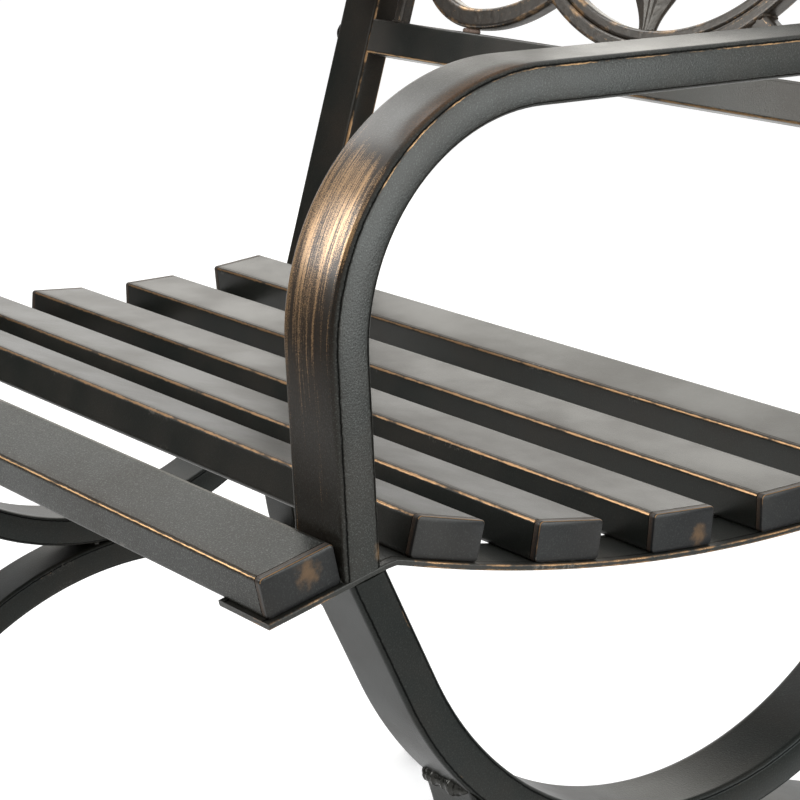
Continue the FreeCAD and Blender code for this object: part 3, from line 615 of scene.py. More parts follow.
def strut(sizes, side, end):
    """Arc bowed towards the middle, from the leg arch up to the upper arc."""
    waist = (sizes.rear_waist_y, sizes.rear_waist_z)
    if end == FRONT:
        waist = (sizes.front_waist_y, sizes.front_waist_z)
    half = sizes.tube_thin / 2
    centre = (waist[0] + end * sizes.strut, waist[1])
    arch, arc = (sizes.arch_behind, sizes.arch_height), (0.0, sizes.upper_arc_height)
    low = bearing_of_meeting(centre, sizes.strut, arch, sizes.arch + half, -end)
    high = bearing_of_meeting(centre, sizes.strut - half, arc, sizes.upper_arc + half, end)
    turn = (high - low + math.pi) % (2 * math.pi) - math.pi
    start = (centre[0] + sizes.strut * math.cos(low), centre[1] + sizes.strut * math.sin(low))
    path = path_of(start, low + math.copysign(math.pi / 2, turn), [bend(sizes.strut, turn)])
    on_arch = lambda p, q: np.hypot(p - arch[0], q - arch[1]) - sizes.arch - half
    on_arc = lambda p, q: np.hypot(p - arc[0], q - arc[1]) - sizes.upper_arc - half
    return sweep(path, frame_tube(sizes), in_side_frame(sizes, side), on_arch, on_arc, spare=0.0)


def back_post(sizes, side):
    """Leaned straight post from the seat bar up to its cap."""
    point, up, through = back_plane(sizes)
    low, high = box_of("back_post_left")
    tall = (high[2] - low[2]) / up[1]
    half = sizes.tube_thin / 2
    foot = [point[axis] - tall * up[axis] + half * through[axis] for axis in (0, 1)]
    path = path_of(foot, math.pi / 2 - sizes.lean, [run(tall)])
    y, z = dish_centre(sizes)
    on_bar = lambda p, q: sizes.dish_radius - np.hypot(p - y, q - z)
    grid = sweep(path, frame_tube(sizes), in_side_frame(sizes, side), on_bar)
    edge_line = 0.7
    grid["fray"][:] = edge_line
    return grid


# Seat

def slat(sizes, node):
    """Straight tube between its caps; haze behind its front edge fades as exp(-distance / fade)."""
    long = sizes.slat_length - 2 * sizes.slat_cap
    path = path_of((-long / 2, 0.0), 0.0, [run(long)])
    grid = sweep(path, slat_tube(sizes), in_slat(sizes, node))
    top, front = grid["lift"] > 0, grid["aside"] < 0
    front_line, rear_line, under_line = 0.8, 0.25, 0.05
    grid["fray"] = np.where(top & front, front_line, np.where(top, rear_line, under_line))
    from_front = np.maximum(grid["aside"] + sizes.tube_wide / 2, 0)
    mist, fade, over_edge = 0.22, 0.003, -0.001
    on_top = top & (grid["arris"] > over_edge)
    grid["haze"] = np.where(on_top, mist * np.exp(-from_front / fade), 0.0)
    return grid


def slat_caps(sizes, node):
    """Caps on a slat's two ends: the section drawn in at the seam and at the face's rounded edge."""
    out = np.array([0.0, 0.04, 0.08, 0.16, 0.3, 0.6, 0.72, 0.82, 0.9, 0.96, 1.0])
    inset = np.array([0.9, 0.45, 0.1, -0.05, 0.0, 0.0, 0.0, 0.03, 0.1, 0.25, 0.6]) * 0.001
    rim_lift, rim_line, side_line = 0.0085, 1.0, 0.45
    far_off, seam_haze = 0.004, 0.3
    grids = []
    for way in (1, -1):
        start = way * (sizes.slat_length / 2 - sizes.slat_cap)
        path = path_of((start, 0.0), 0.0 if way > 0 else math.pi, [run(sizes.slat_cap)])
        grid = sweep(path, slat_tube(sizes), in_slat(sizes, node), stations=out, inset=inset)
        lines = len(grid["points"]) // len(out)
        round_edge = np.repeat(ramp(out, 0.7, 0.9) * (1 - ramp(out, 0.97, 1.0)), lines)
        grid["arris"] = far_off * (1 - round_edge)
        grid["fray"] = np.where(grid["lift"] > rim_lift, rim_line, side_line)
        grid["haze"] = np.repeat(seam_haze * (1 - ramp(out, 0.5, 0.75)), lines)
        grids.append(grid)
    return grids


# Back panel

def rail_tube(sizes):
    """Section of the back rails: the rounded rectangle, standing on its narrow face."""
    return tube_section(sizes.tube_thin, sizes.rail_tall, sizes.tube_edge)


def lower_rail(sizes):
    """Straight rail under the ring, from post to post, rubbed along its lower edges."""
    low, high = box_of("lower_back_rail")
    middle = -sizes.ring - sizes.rail_tall / 2
    path = path_of((low[0], middle), 0.0, [run(high[0] - low[0])])
    grid = sweep(path, rail_tube(sizes), in_rails(sizes))
    lower_line, upper_line = 0.8, 0.1
    grid["fray"] = np.where(grid["lift"] < 0, lower_line, upper_line)
    return grid


def top_rail_radius(sizes):
    """Radius of the top rail's lower face, (half span^2 + rise^2) / (2 rise)."""
    half = sizes.chair_width / 2 - sizes.tube_wide
    return (half ** 2 + sizes.rail_rise ** 2) / (2 * sizes.rail_rise)


def top_rail(sizes):
    """Bowed rail over the ring: a circle's arc with short straight ends, cut off at the posts."""
    low, high = box_of("top_back_rail")
    radius = top_rail_radius(sizes) + sizes.rail_tall / 2
    extra, over = 0.01, 1
    centre = (0.0, sizes.ring - top_rail_radius(sizes))
    path = arched_path(centre, radius, math.asin(high[0] / radius), extra, over)
    return sweep(path, rail_tube(sizes), in_rails(sizes),
                 lambda p, q: p - low[0], lambda p, q: high[0] - p)


def cast_bar(*values, **more):
    """Sweep of a cast bar, rubbed alike all over."""
    grid = sweep(*values, **more)
    for wear, value in CAST_WEAR.items():
        grid[wear][:] = value
    return grid


def stile(sizes, side):
    """Slim upright from the lower rail up to the top rail's bowed lower face."""
    low, high = box_of("back_stile_" + side)
    path = path_of(((low[0] + high[0]) / 2, -sizes.ring), math.pi / 2, [run(2 * sizes.ring)])
    radius = top_rail_radius(sizes)
    under_rail = lambda p, q: radius - np.hypot(p, q - sizes.ring + radius)
    section = tube_section(sizes.stile_deep, sizes.stile_bar, STILE_EDGE)
    return cast_bar(path, section, in_back_panel(sizes), last=under_rail)


def ring(sizes, outer, bar, deep):
    """Rounded bar carried once round a circle of the outer radius less half the bar."""
    radius = outer - bar / 2
    path = path_of((0.0, -radius), 0.0, [bend(radius, 2 * math.pi)])
    return cast_bar(path, tube_section(deep, bar, RING_EDGE), in_back_panel(sizes), closed=True)


def scroll_axis(sizes):
    """Sideways place of the scrolls' lowest points, found so that their third bends meet the ring."""
    low = -sizes.ring + sizes.scroll_bar / 2 + sizes.scroll_lift + VOLUTE[0]
    reach = sizes.ring + VOLUTE[2] + sizes.scroll_bar / 2
    rise = -low - (VOLUTE[1] - VOLUTE[2])
    return VOLUTE[0] - VOLUTE[1] - math.sqrt(reach ** 2 - rise ** 2), low


def scroll(sizes, side, upper):
    """Volute bar: a tail off the ring, then quarter bends that grow tighter towards its eye.

    The bar thins by a smooth step over its last half, and its nose is drawn in as a quarter
    circle, 1 - sqrt(1 - t^2).
    """
    flip = -1 if upper else 1
    axis, height = scroll_axis(sizes)
    if upper:
        under = top_rail_radius(sizes) - VOLUTE[0] - sizes.scroll_bar / 2 - sizes.scroll_lift
        height = sizes.ring - top_rail_radius(sizes) + math.sqrt(under ** 2 - axis ** 2)
    tail_turn, tail = sizes.scroll_tail_turn, sizes.scroll_tail
    out = flip * (tail_turn - math.pi / 2)
    start = (axis + tail * math.cos(out), height + flip * (tail - VOLUTE[0]) + tail * math.sin(out))
    moves = [bend(tail, -flip * tail_turn)] + [bend(radius, -flip * math.pi / 2) for radius in VOLUTE]
    path = path_of(start, math.pi + flip * tail_turn, moves)
    panel = in_back_panel(sizes)
    place = panel if side == "right" else (lambda p, q, a: panel(-p, q, a))
    nose_at, nose_part, nose_in, thinner = 0.982, 0.018, 0.0055, 0.0018
    nose = 1 - np.geomspace(1, 0.0004, 14) * 0.02
    stations = np.append(np.linspace(0, 0.978, 150), nose[1:])
    past = np.clip((stations - nose_at) / nose_part, 0, 1)
    inset = nose_in * (1 - np.sqrt(1 - past ** 2)) + thinner * ramp(stations, 0.55, 1.0)
    off_ring = lambda p, q: np.hypot(p, q) - sizes.ring
    section = tube_section(sizes.scroll_deep, sizes.scroll_bar, SCROLL_EDGE)
    return cast_bar(path, section, place, off_ring, stations=stations, inset=inset)


def leaf(sizes, handles, half_width, deep, fullest):
    """Leaf on a curved spine: the spine is a quadratic curve through its three handles.

    Across the leaf the section is a lens with a crease, y = depth * (1 - |w|)^0.8 on each face,
    and its half width rises to the fullest place and falls to the tip.
    """
    t = np.linspace(0, 1, LEAF_RINGS)[:, None]
    p0, p1, p2 = (np.array(handle, float) for handle in handles)
    spine = (1 - t) ** 2 * p0 + 2 * t * (1 - t) * p1 + t ** 2 * p2
    slope = 2 * (1 - t) * (p1 - p0) + 2 * t * (p2 - p1)
    slope = slope / np.hypot(slope[:, :1], slope[:, 1:])
    normal = np.stack([-slope[:, 1], slope[:, 0]], -1)
    rising, falling = 0.45 + 0.55 * ramp(t, 0, fullest), 1 - ramp(t, fullest, 1.02) ** 1.3
    blunt_tip = 0.0004
    width = half_width * np.where(t < fullest, rising, falling) + blunt_tip
    there = np.linspace(-1, 1, LEAF_LINES)
    across = np.concatenate([there, there[::-1][1:-1]])
    face = np.append(np.ones(LEAF_LINES), -np.ones(LEAF_LINES - 2))
    thick = deep / 2 * (0.35 + 0.65 * (1 - np.abs(across)) ** 0.8) * face
    thick = np.where(np.abs(across) == 1, 0, thick) * (0.25 + 0.75 * np.clip(width / half_width, 0, 1))
    flat = spine[:, None, :] + normal[:, None, :] * (width * across)[..., None]
    points = placed(in_back_panel(sizes), flat[..., 0], flat[..., 1], thick)
    rings, lines = points.shape[:2]
    half = np.arange(1, LEAF_LINES - 2)
    cap = np.stack([half, half + 1, lines - half - 1, lines - half], -1)
    quads = np.concatenate([quads_round(rings, lines), cap, cap[:, ::-1] + (rings - 1) * lines])
    uv = np.stack([points[..., 2], points[..., 0]], -1).reshape(-1, 2)[quads]
    from_edge = (1 - np.abs(across)) * 0.006
    return surface(points, quads, uv, from_edge, fray=0.35, haze=CAST_WEAR["haze"])


def bud(sizes):
    """Middle leaf between two petals that curl outwards, on the inner ring."""
    sunk, petal_half, petal_full = 0.001, 0.0112, 0.38
    foot_aside, waist_aside, waist_high = 0.002, 0.006, 0.045
    base = -sizes.ring + sizes.ring_bar + sizes.inner_bar - sunk
    tip = base + sizes.leaf_long
    middle = [(0, base), (0, (base + tip) / 2), (0, tip)]
    grids = [leaf(sizes, middle, sizes.leaf_half, sizes.bud_deep, 0.5)]
    for way in (1, -1):
        handles = [(way * foot_aside, base), (way * waist_aside, base + waist_high),
                   (way * sizes.petal_span, base + sizes.petal_tall)]
        grids.append(leaf(sizes, handles, petal_half, sizes.bud_deep * 0.9, petal_full))
    return grids


# Welds

def bead(points, radius, seed, ripple=0.0034, haze=0.0):
    """Round weld bead along a line of points, lumpy as laid in drops.

    Its radius is r * (1 + 0.11 sin(2 pi s / ripple) + slow waves), and its ends taper to a point.
    """
    draw = np.random.default_rng(seed)
    line = np.asarray(points, float)
    step = np.append(0, np.cumsum(np.linalg.norm(np.diff(line, axis=0), axis=1)))
    whole = step[-1]
    count = max(8, int(whole / WELD_STEP))
    s = np.linspace(0, whole, count)
    spots = np.stack([np.interp(s, step, line[:, axis]) for axis in range(3)], -1)
    unit = lambda ways: ways / np.linalg.norm(ways, axis=1)[:, None]
    tangent = unit(np.gradient(spots, axis=0))
    slanted = np.array([0.31, 0.55, 0.77])
    one = unit(np.cross(tangent, slanted))
    two = np.cross(tangent, one)
    waves = np.zeros(count)
    for turns in range(2, 9):
        waves += draw.normal() * np.sin(2 * math.pi * turns * s / whole + draw.uniform(0, 6.3)) / turns
    size = radius * (1 + 0.11 * np.sin(2 * math.pi * s / ripple) + 0.24 * waves)
    size = np.clip(size, 0.5 * radius, 1.4 * radius)
    size = size * np.sqrt(np.clip(np.minimum(s, whole - s) / (1.2 * radius), 0.01, 1))
    turn = (np.arange(WELD_LINES) + 0.5) * 2 * math.pi / WELD_LINES - math.pi / 2
    around = np.cos(turn)[:, None] * one[:, None, :] + np.sin(turn)[:, None] * two[:, None, :]
    grid = spots[:, None, :] + size[:, None, None] * around
    quads = np.append(quads_round(count, WELD_LINES), end_caps(count, WELD_LINES), axis=0)
    uv = np.stack([quads // WELD_LINES * WELD_STEP, quads % WELD_LINES * radius], -1)
    return surface(grid, quads, uv, 0.01, haze=haze)


def face_lines(ring_points, section):
    """Lines across a tube's end ring: along its lower and its upper wide face."""
    lines = []
    for level in (-1, 1):
        on_face = np.flatnonzero(np.abs(section["b"] - level * section["thin"] / 2) < 1e-6)
        lines.append(ring_points[on_face[np.argsort(section["a"][on_face])]])
    return lines


def frame_beads(sizes, side):
    """Beads across the wide faces at a side frame's tube ends, and where arc and arch touch."""
    section, both = frame_tube(sizes), ("first", "last")
    joints = [(arm(sizes, side), both, (0.8, 0.9)), (upper_arc(sizes, side), both, (1.0, 1.4)),
              (strut(sizes, side, FRONT), both, (1.3, 1.9)),
              (strut(sizes, side, REAR), both, (1.9, 1.3)),
              (back_post(sizes, side), ("first",), (1.0, 1.2))]
    beads = []
    for number, (grid, ends, swells) in enumerate(joints):
        for end in ends:
            for line, swell in zip(face_lines(grid[end], section), swells):
                beads.append(bead(line, sizes.weld * swell, 100 * number + len(beads)))
    arc = np.array([0.0, sizes.upper_arc_height])
    to_arch = np.array([sizes.arch_behind, sizes.arch_height]) - arc
    along = to_arch / np.hypot(*to_arch)
    contact = arc + along * (sizes.upper_arc + sizes.tube_thin / 2)
    short, apart = 0.004, 0.021
    half = np.linspace(-0.5, 0.5, 40) * (sizes.tube_wide - short)
    for way in (1, -1):
        spot = contact + way * apart * np.array([-along[1], along[0]])
        line = placed(in_side_frame(sizes, side), spot[0], spot[1], half)
        beads.append(bead(line, sizes.weld * 1.2, 70 + way))
    return beads


def panel_beads(sizes):
    """Short beads where rings, rails, scrolls, stiles and bud touch."""
    place = in_back_panel(sizes)
    beads = []
    short, parts = 0.001, 4
    ring_bead, tail_bead, stile_bead = (sizes.weld * swell for swell in (0.8, 0.6, 0.5))
    deep = np.linspace(-0.5, 0.5, 16) * (sizes.ring_deep - short)
    for number, turn in enumerate(np.radians((-94.2, -85.8, 85.8, 94.2))):
        line = placed(place, sizes.ring * math.cos(turn), sizes.ring * math.sin(turn), deep)
        beads.append(bead(line, ring_bead, 200 + number))
    scrolls = [(side, upper) for side in SIDES for upper in (False, True)]
    for number, (side, upper) in enumerate(scrolls):
        for part in np.array_split(scroll(sizes, side, upper)["first"], parts):
            beads.append(bead(part, tail_bead, 300 + number, haze=0.25))
    for number, side in enumerate(SIDES):
        grid = stile(sizes, side)
        for end in ("first", "last"):
            for part in np.array_split(grid[end], parts):
                beads.append(bead(part, stile_bead, 340 + number, haze=0.2))
    foot = np.linspace(-0.008, 0.008, 16)
    line = placed(place, foot, -sizes.ring + sizes.ring_bar + sizes.inner_bar, 0 * foot)
    beads.append(bead(line, sizes.weld, 360, haze=0.2))
    return beads


def weld_drops(sizes):
    """Flat drops that fill the gap between each scroll and its rail."""
    axis, _ = scroll_axis(sizes)
    across = np.linspace(-0.009, 0.009, 20)
    radius, lift, coarse, full = top_rail_radius(sizes), sizes.scroll_lift, 0.0046, 0.75
    under = sizes.ring - radius + math.sqrt((radius - lift / 2) ** 2 - axis ** 2)
    drops = []
    for number, side in enumerate(SIDES.values()):
        for q in (-sizes.ring + lift / 2, under):
            line = placed(in_back_panel(sizes), -side * axis + across, q, 0 * across)
            drops.append(bead(line, full * lift, 320 + number, coarse))
    return drops


# Node trees and the effects that materials share

class Nodes:
    """A node tree with short words for its sums, blends and noise."""

    def __init__(self, tree):
        self.tree = tree

    def feed(self, socket, value):
        """Links another node's socket, or sets a plain value."""
        if isinstance(value, bpy.types.NodeSocket):
            self.tree.links.new(value, socket)
        else:
            socket.default_value = value

    def add(self, kind, inputs=None, **settings):
        """New node with its settings, and its inputs by name or number."""
        made = self.tree.nodes.new(kind)
        for name, value in settings.items():
            setattr(made, name, value)
        for key, value in (inputs or {}).items():
            self.feed(made.inputs[key], value)
        return made.outputs

    def maths(self, operation, *values, clamp=False):
        """Result of one sum of numbers."""
        return self.add("ShaderNodeMath", dict(enumerate(values)), operation=operation,
                        use_clamp=clamp)[0]

    def times(self, one, two):
        return self.maths("MULTIPLY", one, two)

    def plus(self, one, two):
        return self.maths("ADD", one, two)

    def minus(self, one, two, clamp=False):
        return self.maths("SUBTRACT", one, two, clamp=clamp)

    def over(self, one, two):
        return self.maths("DIVIDE", one, two)

    def most(self, one, two):
        return self.maths("MAXIMUM", one, two)

    def vectors(self, operation, one, two):
        """Outputs of one sum of vectors."""
        return self.add("ShaderNodeVectorMath", {0: one, 1: two}, operation=operation)

    def mix(self, factor, one, two):
        """Number that goes from one to two with the factor."""
        return self.add("ShaderNodeMix", {0: factor, 2: one, 3: two})[0]

    def blend(self, factor, one, two):
        """Colour that goes from one to two with the factor."""
        return self.add("ShaderNodeMix", {0: factor, 6: one, 7: two}, data_type="RGBA")[2]

    def spread(self, value, low, high, to_low=0.0, to_high=1.0):
        """Value stretched smoothly from low..high to to_low..to_high."""
        inputs = {"Value": value, "From Min": low, "From Max": high, "To Min": to_low,
                  "To Max": to_high}
        return self.add("ShaderNodeMapRange", inputs, interpolation_type="SMOOTHSTEP")[0]

    def noise(self, vector, scale, detail=3.0, roughness=0.55):
        """Cloudy value about 0.5, with so many clouds to the metre."""
        inputs = {"Vector": vector, "Scale": scale, "Detail": detail, "Roughness": roughness}
        return self.add("ShaderNodeTexNoise", inputs)[0]

    def effect(self, build, inputs):
        """Shared group placed here with its own values; it is built at its first use."""
        shared = bpy.data.node_groups.get(build.__name__) or build()
        made = self.tree.nodes.new("ShaderNodeGroup")
        made.node_tree = shared
        for key, value in inputs.items():
            self.feed(made.inputs[key], value)
        return made.outputs


def new_group(name, vectors, values, outputs):
    """Empty group with its sockets: the tree, its words for nodes, what it is given and puts out."""
    tree = bpy.data.node_groups.new(name, "ShaderNodeTree")
    for label in vectors:
        tree.interface.new_socket(label, in_out="INPUT", socket_type="NodeSocketVector")
    for label, default in values.items():
        socket = tree.interface.new_socket(label, in_out="INPUT", socket_type="NodeSocketFloat")
        socket.default_value = default
    for label in outputs:
        tree.interface.new_socket(label, in_out="OUTPUT", socket_type="NodeSocketFloat")
    given, put = tree.nodes.new("NodeGroupInput"), tree.nodes.new("NodeGroupOutput")
    return tree, Nodes(tree), given.outputs, put.inputs


def powder_grain():
    """Pebbled powder coat: rounded cells of the given size, roughened by finer noise."""
    tree, do, given, put = new_group("powder_grain", ["Vector"], {"Size": 0.0013}, ["Height", "Fine"])
    scale = do.over(1.0, given["Size"])
    inputs = {"Vector": given["Vector"], "Scale": scale, "Smoothness": 0.6}
    cells = do.add("ShaderNodeTexVoronoi", inputs, feature="SMOOTH_F1")
    fine = do.noise(given["Vector"], do.times(scale, 2.4), 2.0)
    dome = do.minus(1.0, cells["Distance"])
    do.feed(put["Height"], do.plus(do.times(dome, 0.75), do.times(fine, 0.5)))
    do.feed(put["Fine"], fine)
    return tree


def edge_rub():
    """Copper line along the long edges, broken by noise, with chips and a dark line of painted shade
    beside it.
    """
    values = {"Arris": 0.01, "Fray": 0.5, "Line": 0.0006, "Line at": 0.0, "Dark from": 0.0012,
              "Dark to": 0.0028}
    tree, do, given, put = new_group("edge_rub", ["Vector"], values, ["Copper", "Dark", "Chip"])
    place = given["Vector"]
    wobble_scale, break_scale, patch_scale, mark_scale = 300.0, 55.0, 19.0, 520.0
    wobble_deep, soft = 0.0009, 0.0004
    wobble = do.times(do.minus(do.noise(place, wobble_scale), 0.5), wobble_deep)
    signed = do.plus(given["Arris"], wobble)
    away = do.maths("ABSOLUTE", do.minus(signed, given["Line at"]))
    broken = do.noise(place, break_scale, 4.0, 0.65)
    wide = do.times(given["Line"], do.spread(broken, 0.25, 0.75, 0.5, 1.6))
    near = do.minus(1.0, do.over(away, wide), clamp=True)
    lack = do.minus(0.74, do.times(given["Fray"], 0.56))
    kept = do.spread(do.minus(broken, lack), 0.0, 0.22)
    do.feed(put["Copper"], do.times(do.spread(near, 0.0, 0.6), kept))
    # The dark line between Dark from and Dark to is painted shade beside the edge
    rise = do.spread(do.minus(signed, given["Dark from"]), -soft, soft)
    fall = do.spread(do.minus(signed, given["Dark to"]), -soft, 1.5 * soft, 1.0, 0.0)
    do.feed(put["Dark"], do.times(rise, fall))
    where = do.spread(do.noise(place, patch_scale, 2.0), 0.60, 0.68)
    marks = do.spread(do.noise(place, mark_scale, 3.0, 0.7), 0.50, 0.62)
    beside = do.spread(away, 0.0008, 0.0040, 1.0, 0.0)
    do.feed(put["Chip"], do.times(do.times(where, marks), beside))
    return tree


def brushed_streaks():
    """Streaks of copper: noise drawn out lengthwise and cut off by the rub, on the grain's tops."""
    values = {"Rub": 0.0, "Grain": 0.5}
    tree, do, given, put = new_group("brushed_streaks", ["Along"], values, ["Copper"])
    broad_scale, fine_scale = (9.0, 190.0, 1.0), (30.0, 1100.0, 1.0)
    broad = do.vectors("MULTIPLY", given["Along"], broad_scale)[0]
    fine = do.vectors("MULTIPLY", given["Along"], fine_scale)[0]
    lines = do.plus(do.times(do.noise(broad, 1.0, 2.0), 0.5), do.times(do.noise(fine, 1.0, 2.0), 0.5))
    lines = do.plus(lines, do.times(do.minus(given["Grain"], 0.5), 0.5))
    level = do.minus(0.80, do.times(given["Rub"], 0.345))
    do.feed(put["Copper"], do.spread(do.minus(lines, level), -0.05, 0.14))
    return tree


def handling_marks():
    """Cloudy smudges over the surface."""
    tree, do, given, put = new_group("handling_marks", ["Vector"], {}, ["Smudge"])
    cloud_scale = 16.0
    do.feed(put["Smudge"], do.noise(given["Vector"], cloud_scale, 5.0, 0.6))
    return tree


def rubbed_spot():
    """Rubbed patch about a place: falls off with the distance from it, broken up by noise."""
    tree, do, given, put = new_group("rubbed_spot", ["Vector", "Place"], {"Radius": 0.007}, ["Copper"])
    apart = do.vectors("DISTANCE", given["Vector"], given["Place"])["Value"]
    near = do.minus(1.0, do.over(apart, given["Radius"]), clamp=True)
    cloud_scale = 240.0
    cloud = do.noise(given["Vector"], cloud_scale, 4.0, 0.6)
    do.feed(put["Copper"], do.spread(do.plus(do.times(near, 0.8), cloud), 0.68, 1.3))
    return tree


# Materials

RELIEF = 0.0004
FLAKE_SCALE = 1300.0
SPOT_COPPER = 0.4
SCORCH = 0.75
COPPER_METAL, HAZE_METAL = 0.8, 0.6
HAZE_ROUGH, DULL_ROUGH = 0.7, 0.66
DULL_GRAIN = 4.0
LACQUER, LACQUER_ROUGH = 0.6, 0.22
DARK_GROOVE = 0.4

# Coats by name: size and depth of the pebbles, width and place of the copper line, reach of the dark
# line of painted shade
COATS = {
    "frame_coat": dict(rougher=0.03, grain=0.0010, depth=0.00007, line=0.0003, line_at=-0.0019,
                       dark=(-0.0016, -0.0008), flakes=0.28),
    # Duller copy of the frame coat, with less reflection and fewer flakes: painted shade for the
    # seat's shadow on the arcs, arches and struts
    "arc_coat": dict(rougher=0.03, grain=0.0010, depth=0.00006, line=0.0003, line_at=-0.0019,
                     dark=(-0.0016, -0.0008), chips=0.2, shine=0.2, flakes=0.08, tint="cool"),
    "rail_coat": dict(rougher=0.03, grain=0.0010, depth=0.00006, line=0.0008, line_at=-0.0004,
                      dark=(0.02, 0.022), brown=0.9, shine=0.65),
    "post_coat": dict(rougher=0.06, grain=0.0011, depth=0.00006, line=0.0009, line_at=-0.0005,
                      dark=(0.02, 0.022), brown=0.9, shine=0.16, rubbed="sand", flakes=0.05),
    "slat_coat": dict(rougher=0.02, grain=0.0008, depth=0.00004, line=0.0007, line_at=-0.0006,
                      dark=(0.0012, 0.0018), shine=0.27, rubbed="sand", ink=0.2, flakes=0.05),
    "front_slat_coat": dict(rougher=0.06, grain=0.0008, depth=0.00006, line=0.00045,
                            dark=(0.0007, 0.0014), shine=0.2, flakes=0.45),
    "bar_coat": dict(rougher=0.1, grain=0.0009, depth=0.00009, line=0.0007, dark=(0.004, 0.005),
                     rubbed="sand"),
    "cast_coat": dict(base="cast", rougher=-0.01, grain=0.0048, depth=0.0003, line=0.0020,
                      dark=(0.01, 0.012), brown=0.8, shine=1.0, flakes=0.22),
    "weld_coat": dict(rougher=-0.01, grain=0.0009, depth=0.0001, line=0.0004, dark=(0.02, 0.022)),
    "cap_coat": dict(base="cap", rougher=0.03, grain=0.0010, depth=0.00002, line=0.0006,
                     dark=(0.01, 0.012), brown=0.3, chips=0.8, shine=0.32, rubbed="sand"),
}

# Rubbed patch on the left arm's foot: its place and radius
ARM_SPOT = ((0.315, -0.2425, 0.439), 0.0075)


def new_material(name):
    """Empty material, its words for nodes and its shader's inputs."""
    made = bpy.data.materials.new(name)
    made.use_nodes = True
    return made, Nodes(made.node_tree), made.node_tree.nodes["Principled BSDF"].inputs


def coat(name, finish, spots=()):
    """One of the chair's coats by its name, made at its first use."""
    return bpy.data.materials.get(name) or bronze(name, finish, spots, **COATS[name])


def bronze(name, finish, spots, rougher, grain, depth, line, dark, line_at=0.0, base="coat", brown=0.5,
           chips=0.6, shine=None, rubbed="copper", ink=0.95, flakes=0.1, tint="tint"):
    """Black-bronze coat: grain, copper on edges and rubbed places, brown haze, smudges and chips.

    The ground goes from the coat's colour to brown with the smudges and then takes flakes, dark lines
    of painted shade, chips, burnt streaks, haze and copper in turn. Flakes, shade lines and copper are
    metal.
    """
    made, do, shader = new_material(name)
    place = do.add("ShaderNodeTexCoord")["Object"]
    along = do.add("ShaderNodeUVMap", uv_map=UV_NAME)[0]
    arris, rub, fray, haze, dull = (do.add("ShaderNodeAttribute", attribute_name=wear)["Fac"]
                                    for wear in WEAR)
    pebbles = do.effect(powder_grain, {"Vector": place, "Size": grain})
    edge = do.effect(edge_rub, {"Vector": place, "Arris": arris, "Fray": fray, "Line": line,
                                "Line at": line_at, "Dark from": dark[0], "Dark to": dark[1]})
    brushed = do.effect(brushed_streaks, {"Along": along, "Rub": rub, "Grain": pebbles["Fine"]})
    streaks = brushed["Copper"]
    smudge = do.effect(handling_marks, {"Vector": place})["Smudge"]

    copper = do.maths("MAXIMUM", edge["Copper"], streaks, clamp=True)
    for spot, radius in spots:
        patch = do.effect(rubbed_spot, {"Vector": place, "Place": spot, "Radius": radius})
        copper = do.most(copper, do.times(patch["Copper"], SPOT_COPPER))
    scorched = do.times(rub, SCORCH)
    # Near-black metal without reflection: the painted shade line beside the edges, and the burnt coat
    # between the copper streaks
    black = do.most(do.times(edge["Dark"], ink), do.times(scorched, do.minus(1.0, streaks)))
    flake = do.spread(do.noise(place, FLAKE_SCALE, 2.0, 0.7), 0.5, 0.72, 0.0, flakes)
    misty = do.times(haze, do.spread(pebbles["Height"], 0.45, 0.85, 0.5, 1.0))

    ground = do.blend(do.times(do.spread(smudge, 0.35, 0.7), brown), getattr(finish, base),
                      finish.coat_brown)
    for mask, paint in ((flake, finish.flake), (black, finish.ink),
                        (do.times(edge["Chip"], chips), finish.scuff), (scorched, finish.burnt),
                        (misty, finish.haze), (copper, getattr(finish, rubbed))):
        ground = do.blend(mask, ground, paint)
    do.feed(shader["Base Color"], ground)
    metal = do.times(do.most(copper, do.times(misty, HAZE_METAL)), COPPER_METAL)
    do.feed(shader["Metallic"], do.most(metal, do.most(black, flake)))

    rough = finish.gloss + rougher
    satin = do.spread(smudge, 0.3, 0.72, rough - 0.04, rough + 0.06)
    satin = do.plus(do.plus(satin, do.times(haze, HAZE_ROUGH)), do.times(dull, DULL_ROUGH))
    do.feed(shader["Roughness"], do.mix(copper, satin, finish.copper_gloss))
    shader["Specular IOR Level"].default_value = shine or finish.shine
    shader["Specular Tint"].default_value = getattr(finish, tint)
    shader["Coat Roughness"].default_value = LACQUER_ROUGH
    do.feed(shader["Coat Weight"], do.times(rub, LACQUER))

    grainy = do.plus(do.minus(1.0, scorched), do.times(dull, DULL_GRAIN))
    pebble = do.times(do.times(pebbles["Height"], grainy), depth / RELIEF)
    height = do.minus(pebble, do.times(edge["Dark"], DARK_GROOVE))
    do.feed(shader["Normal"], do.add("ShaderNodeBump", {"Height": height, "Strength": 1.0,
                                                        "Distance": RELIEF})[0])
    return made


def plain_part(name, base, rough, metallic, grain, depth):
    """Moulded or turned small part: fine grain, cloudy gloss and a mottled colour."""
    made, do, shader = new_material(name)
    place = do.add("ShaderNodeTexCoord")["Object"]
    pebbles = do.effect(powder_grain, {"Vector": place, "Size": grain})
    smudge = do.effect(handling_marks, {"Vector": place})["Smudge"]
    darker = tuple(0.6 * part for part in base[:3]) + (1.0,)
    do.feed(shader["Base Color"], do.blend(do.spread(smudge, 0.35, 0.7), base, darker))
    do.feed(shader["Roughness"], do.spread(smudge, 0.3, 0.7, rough - 0.06, rough + 0.08))
    shader["Metallic"].default_value = metallic
    do.feed(shader["Normal"], do.add("ShaderNodeBump", {"Height": pebbles["Height"], "Strength": 1.0,
                                                        "Distance": depth})[0])
    return made


# Operators

def settings(context):
    """Sizes and finishes that the scene holds."""
    return context.scene.chair_sizes, context.scene.chair_finish


def dress_both(context, prefix, stem, make, paint):
    """The same piece on the left and the right, each in place of its node."""
    sizes, finish = settings(context)
    for side in SIDES:
        piece(prefix + stem + side, [make(sizes, side)], coat(paint, finish), [stem + side])
    return {"FINISHED"}


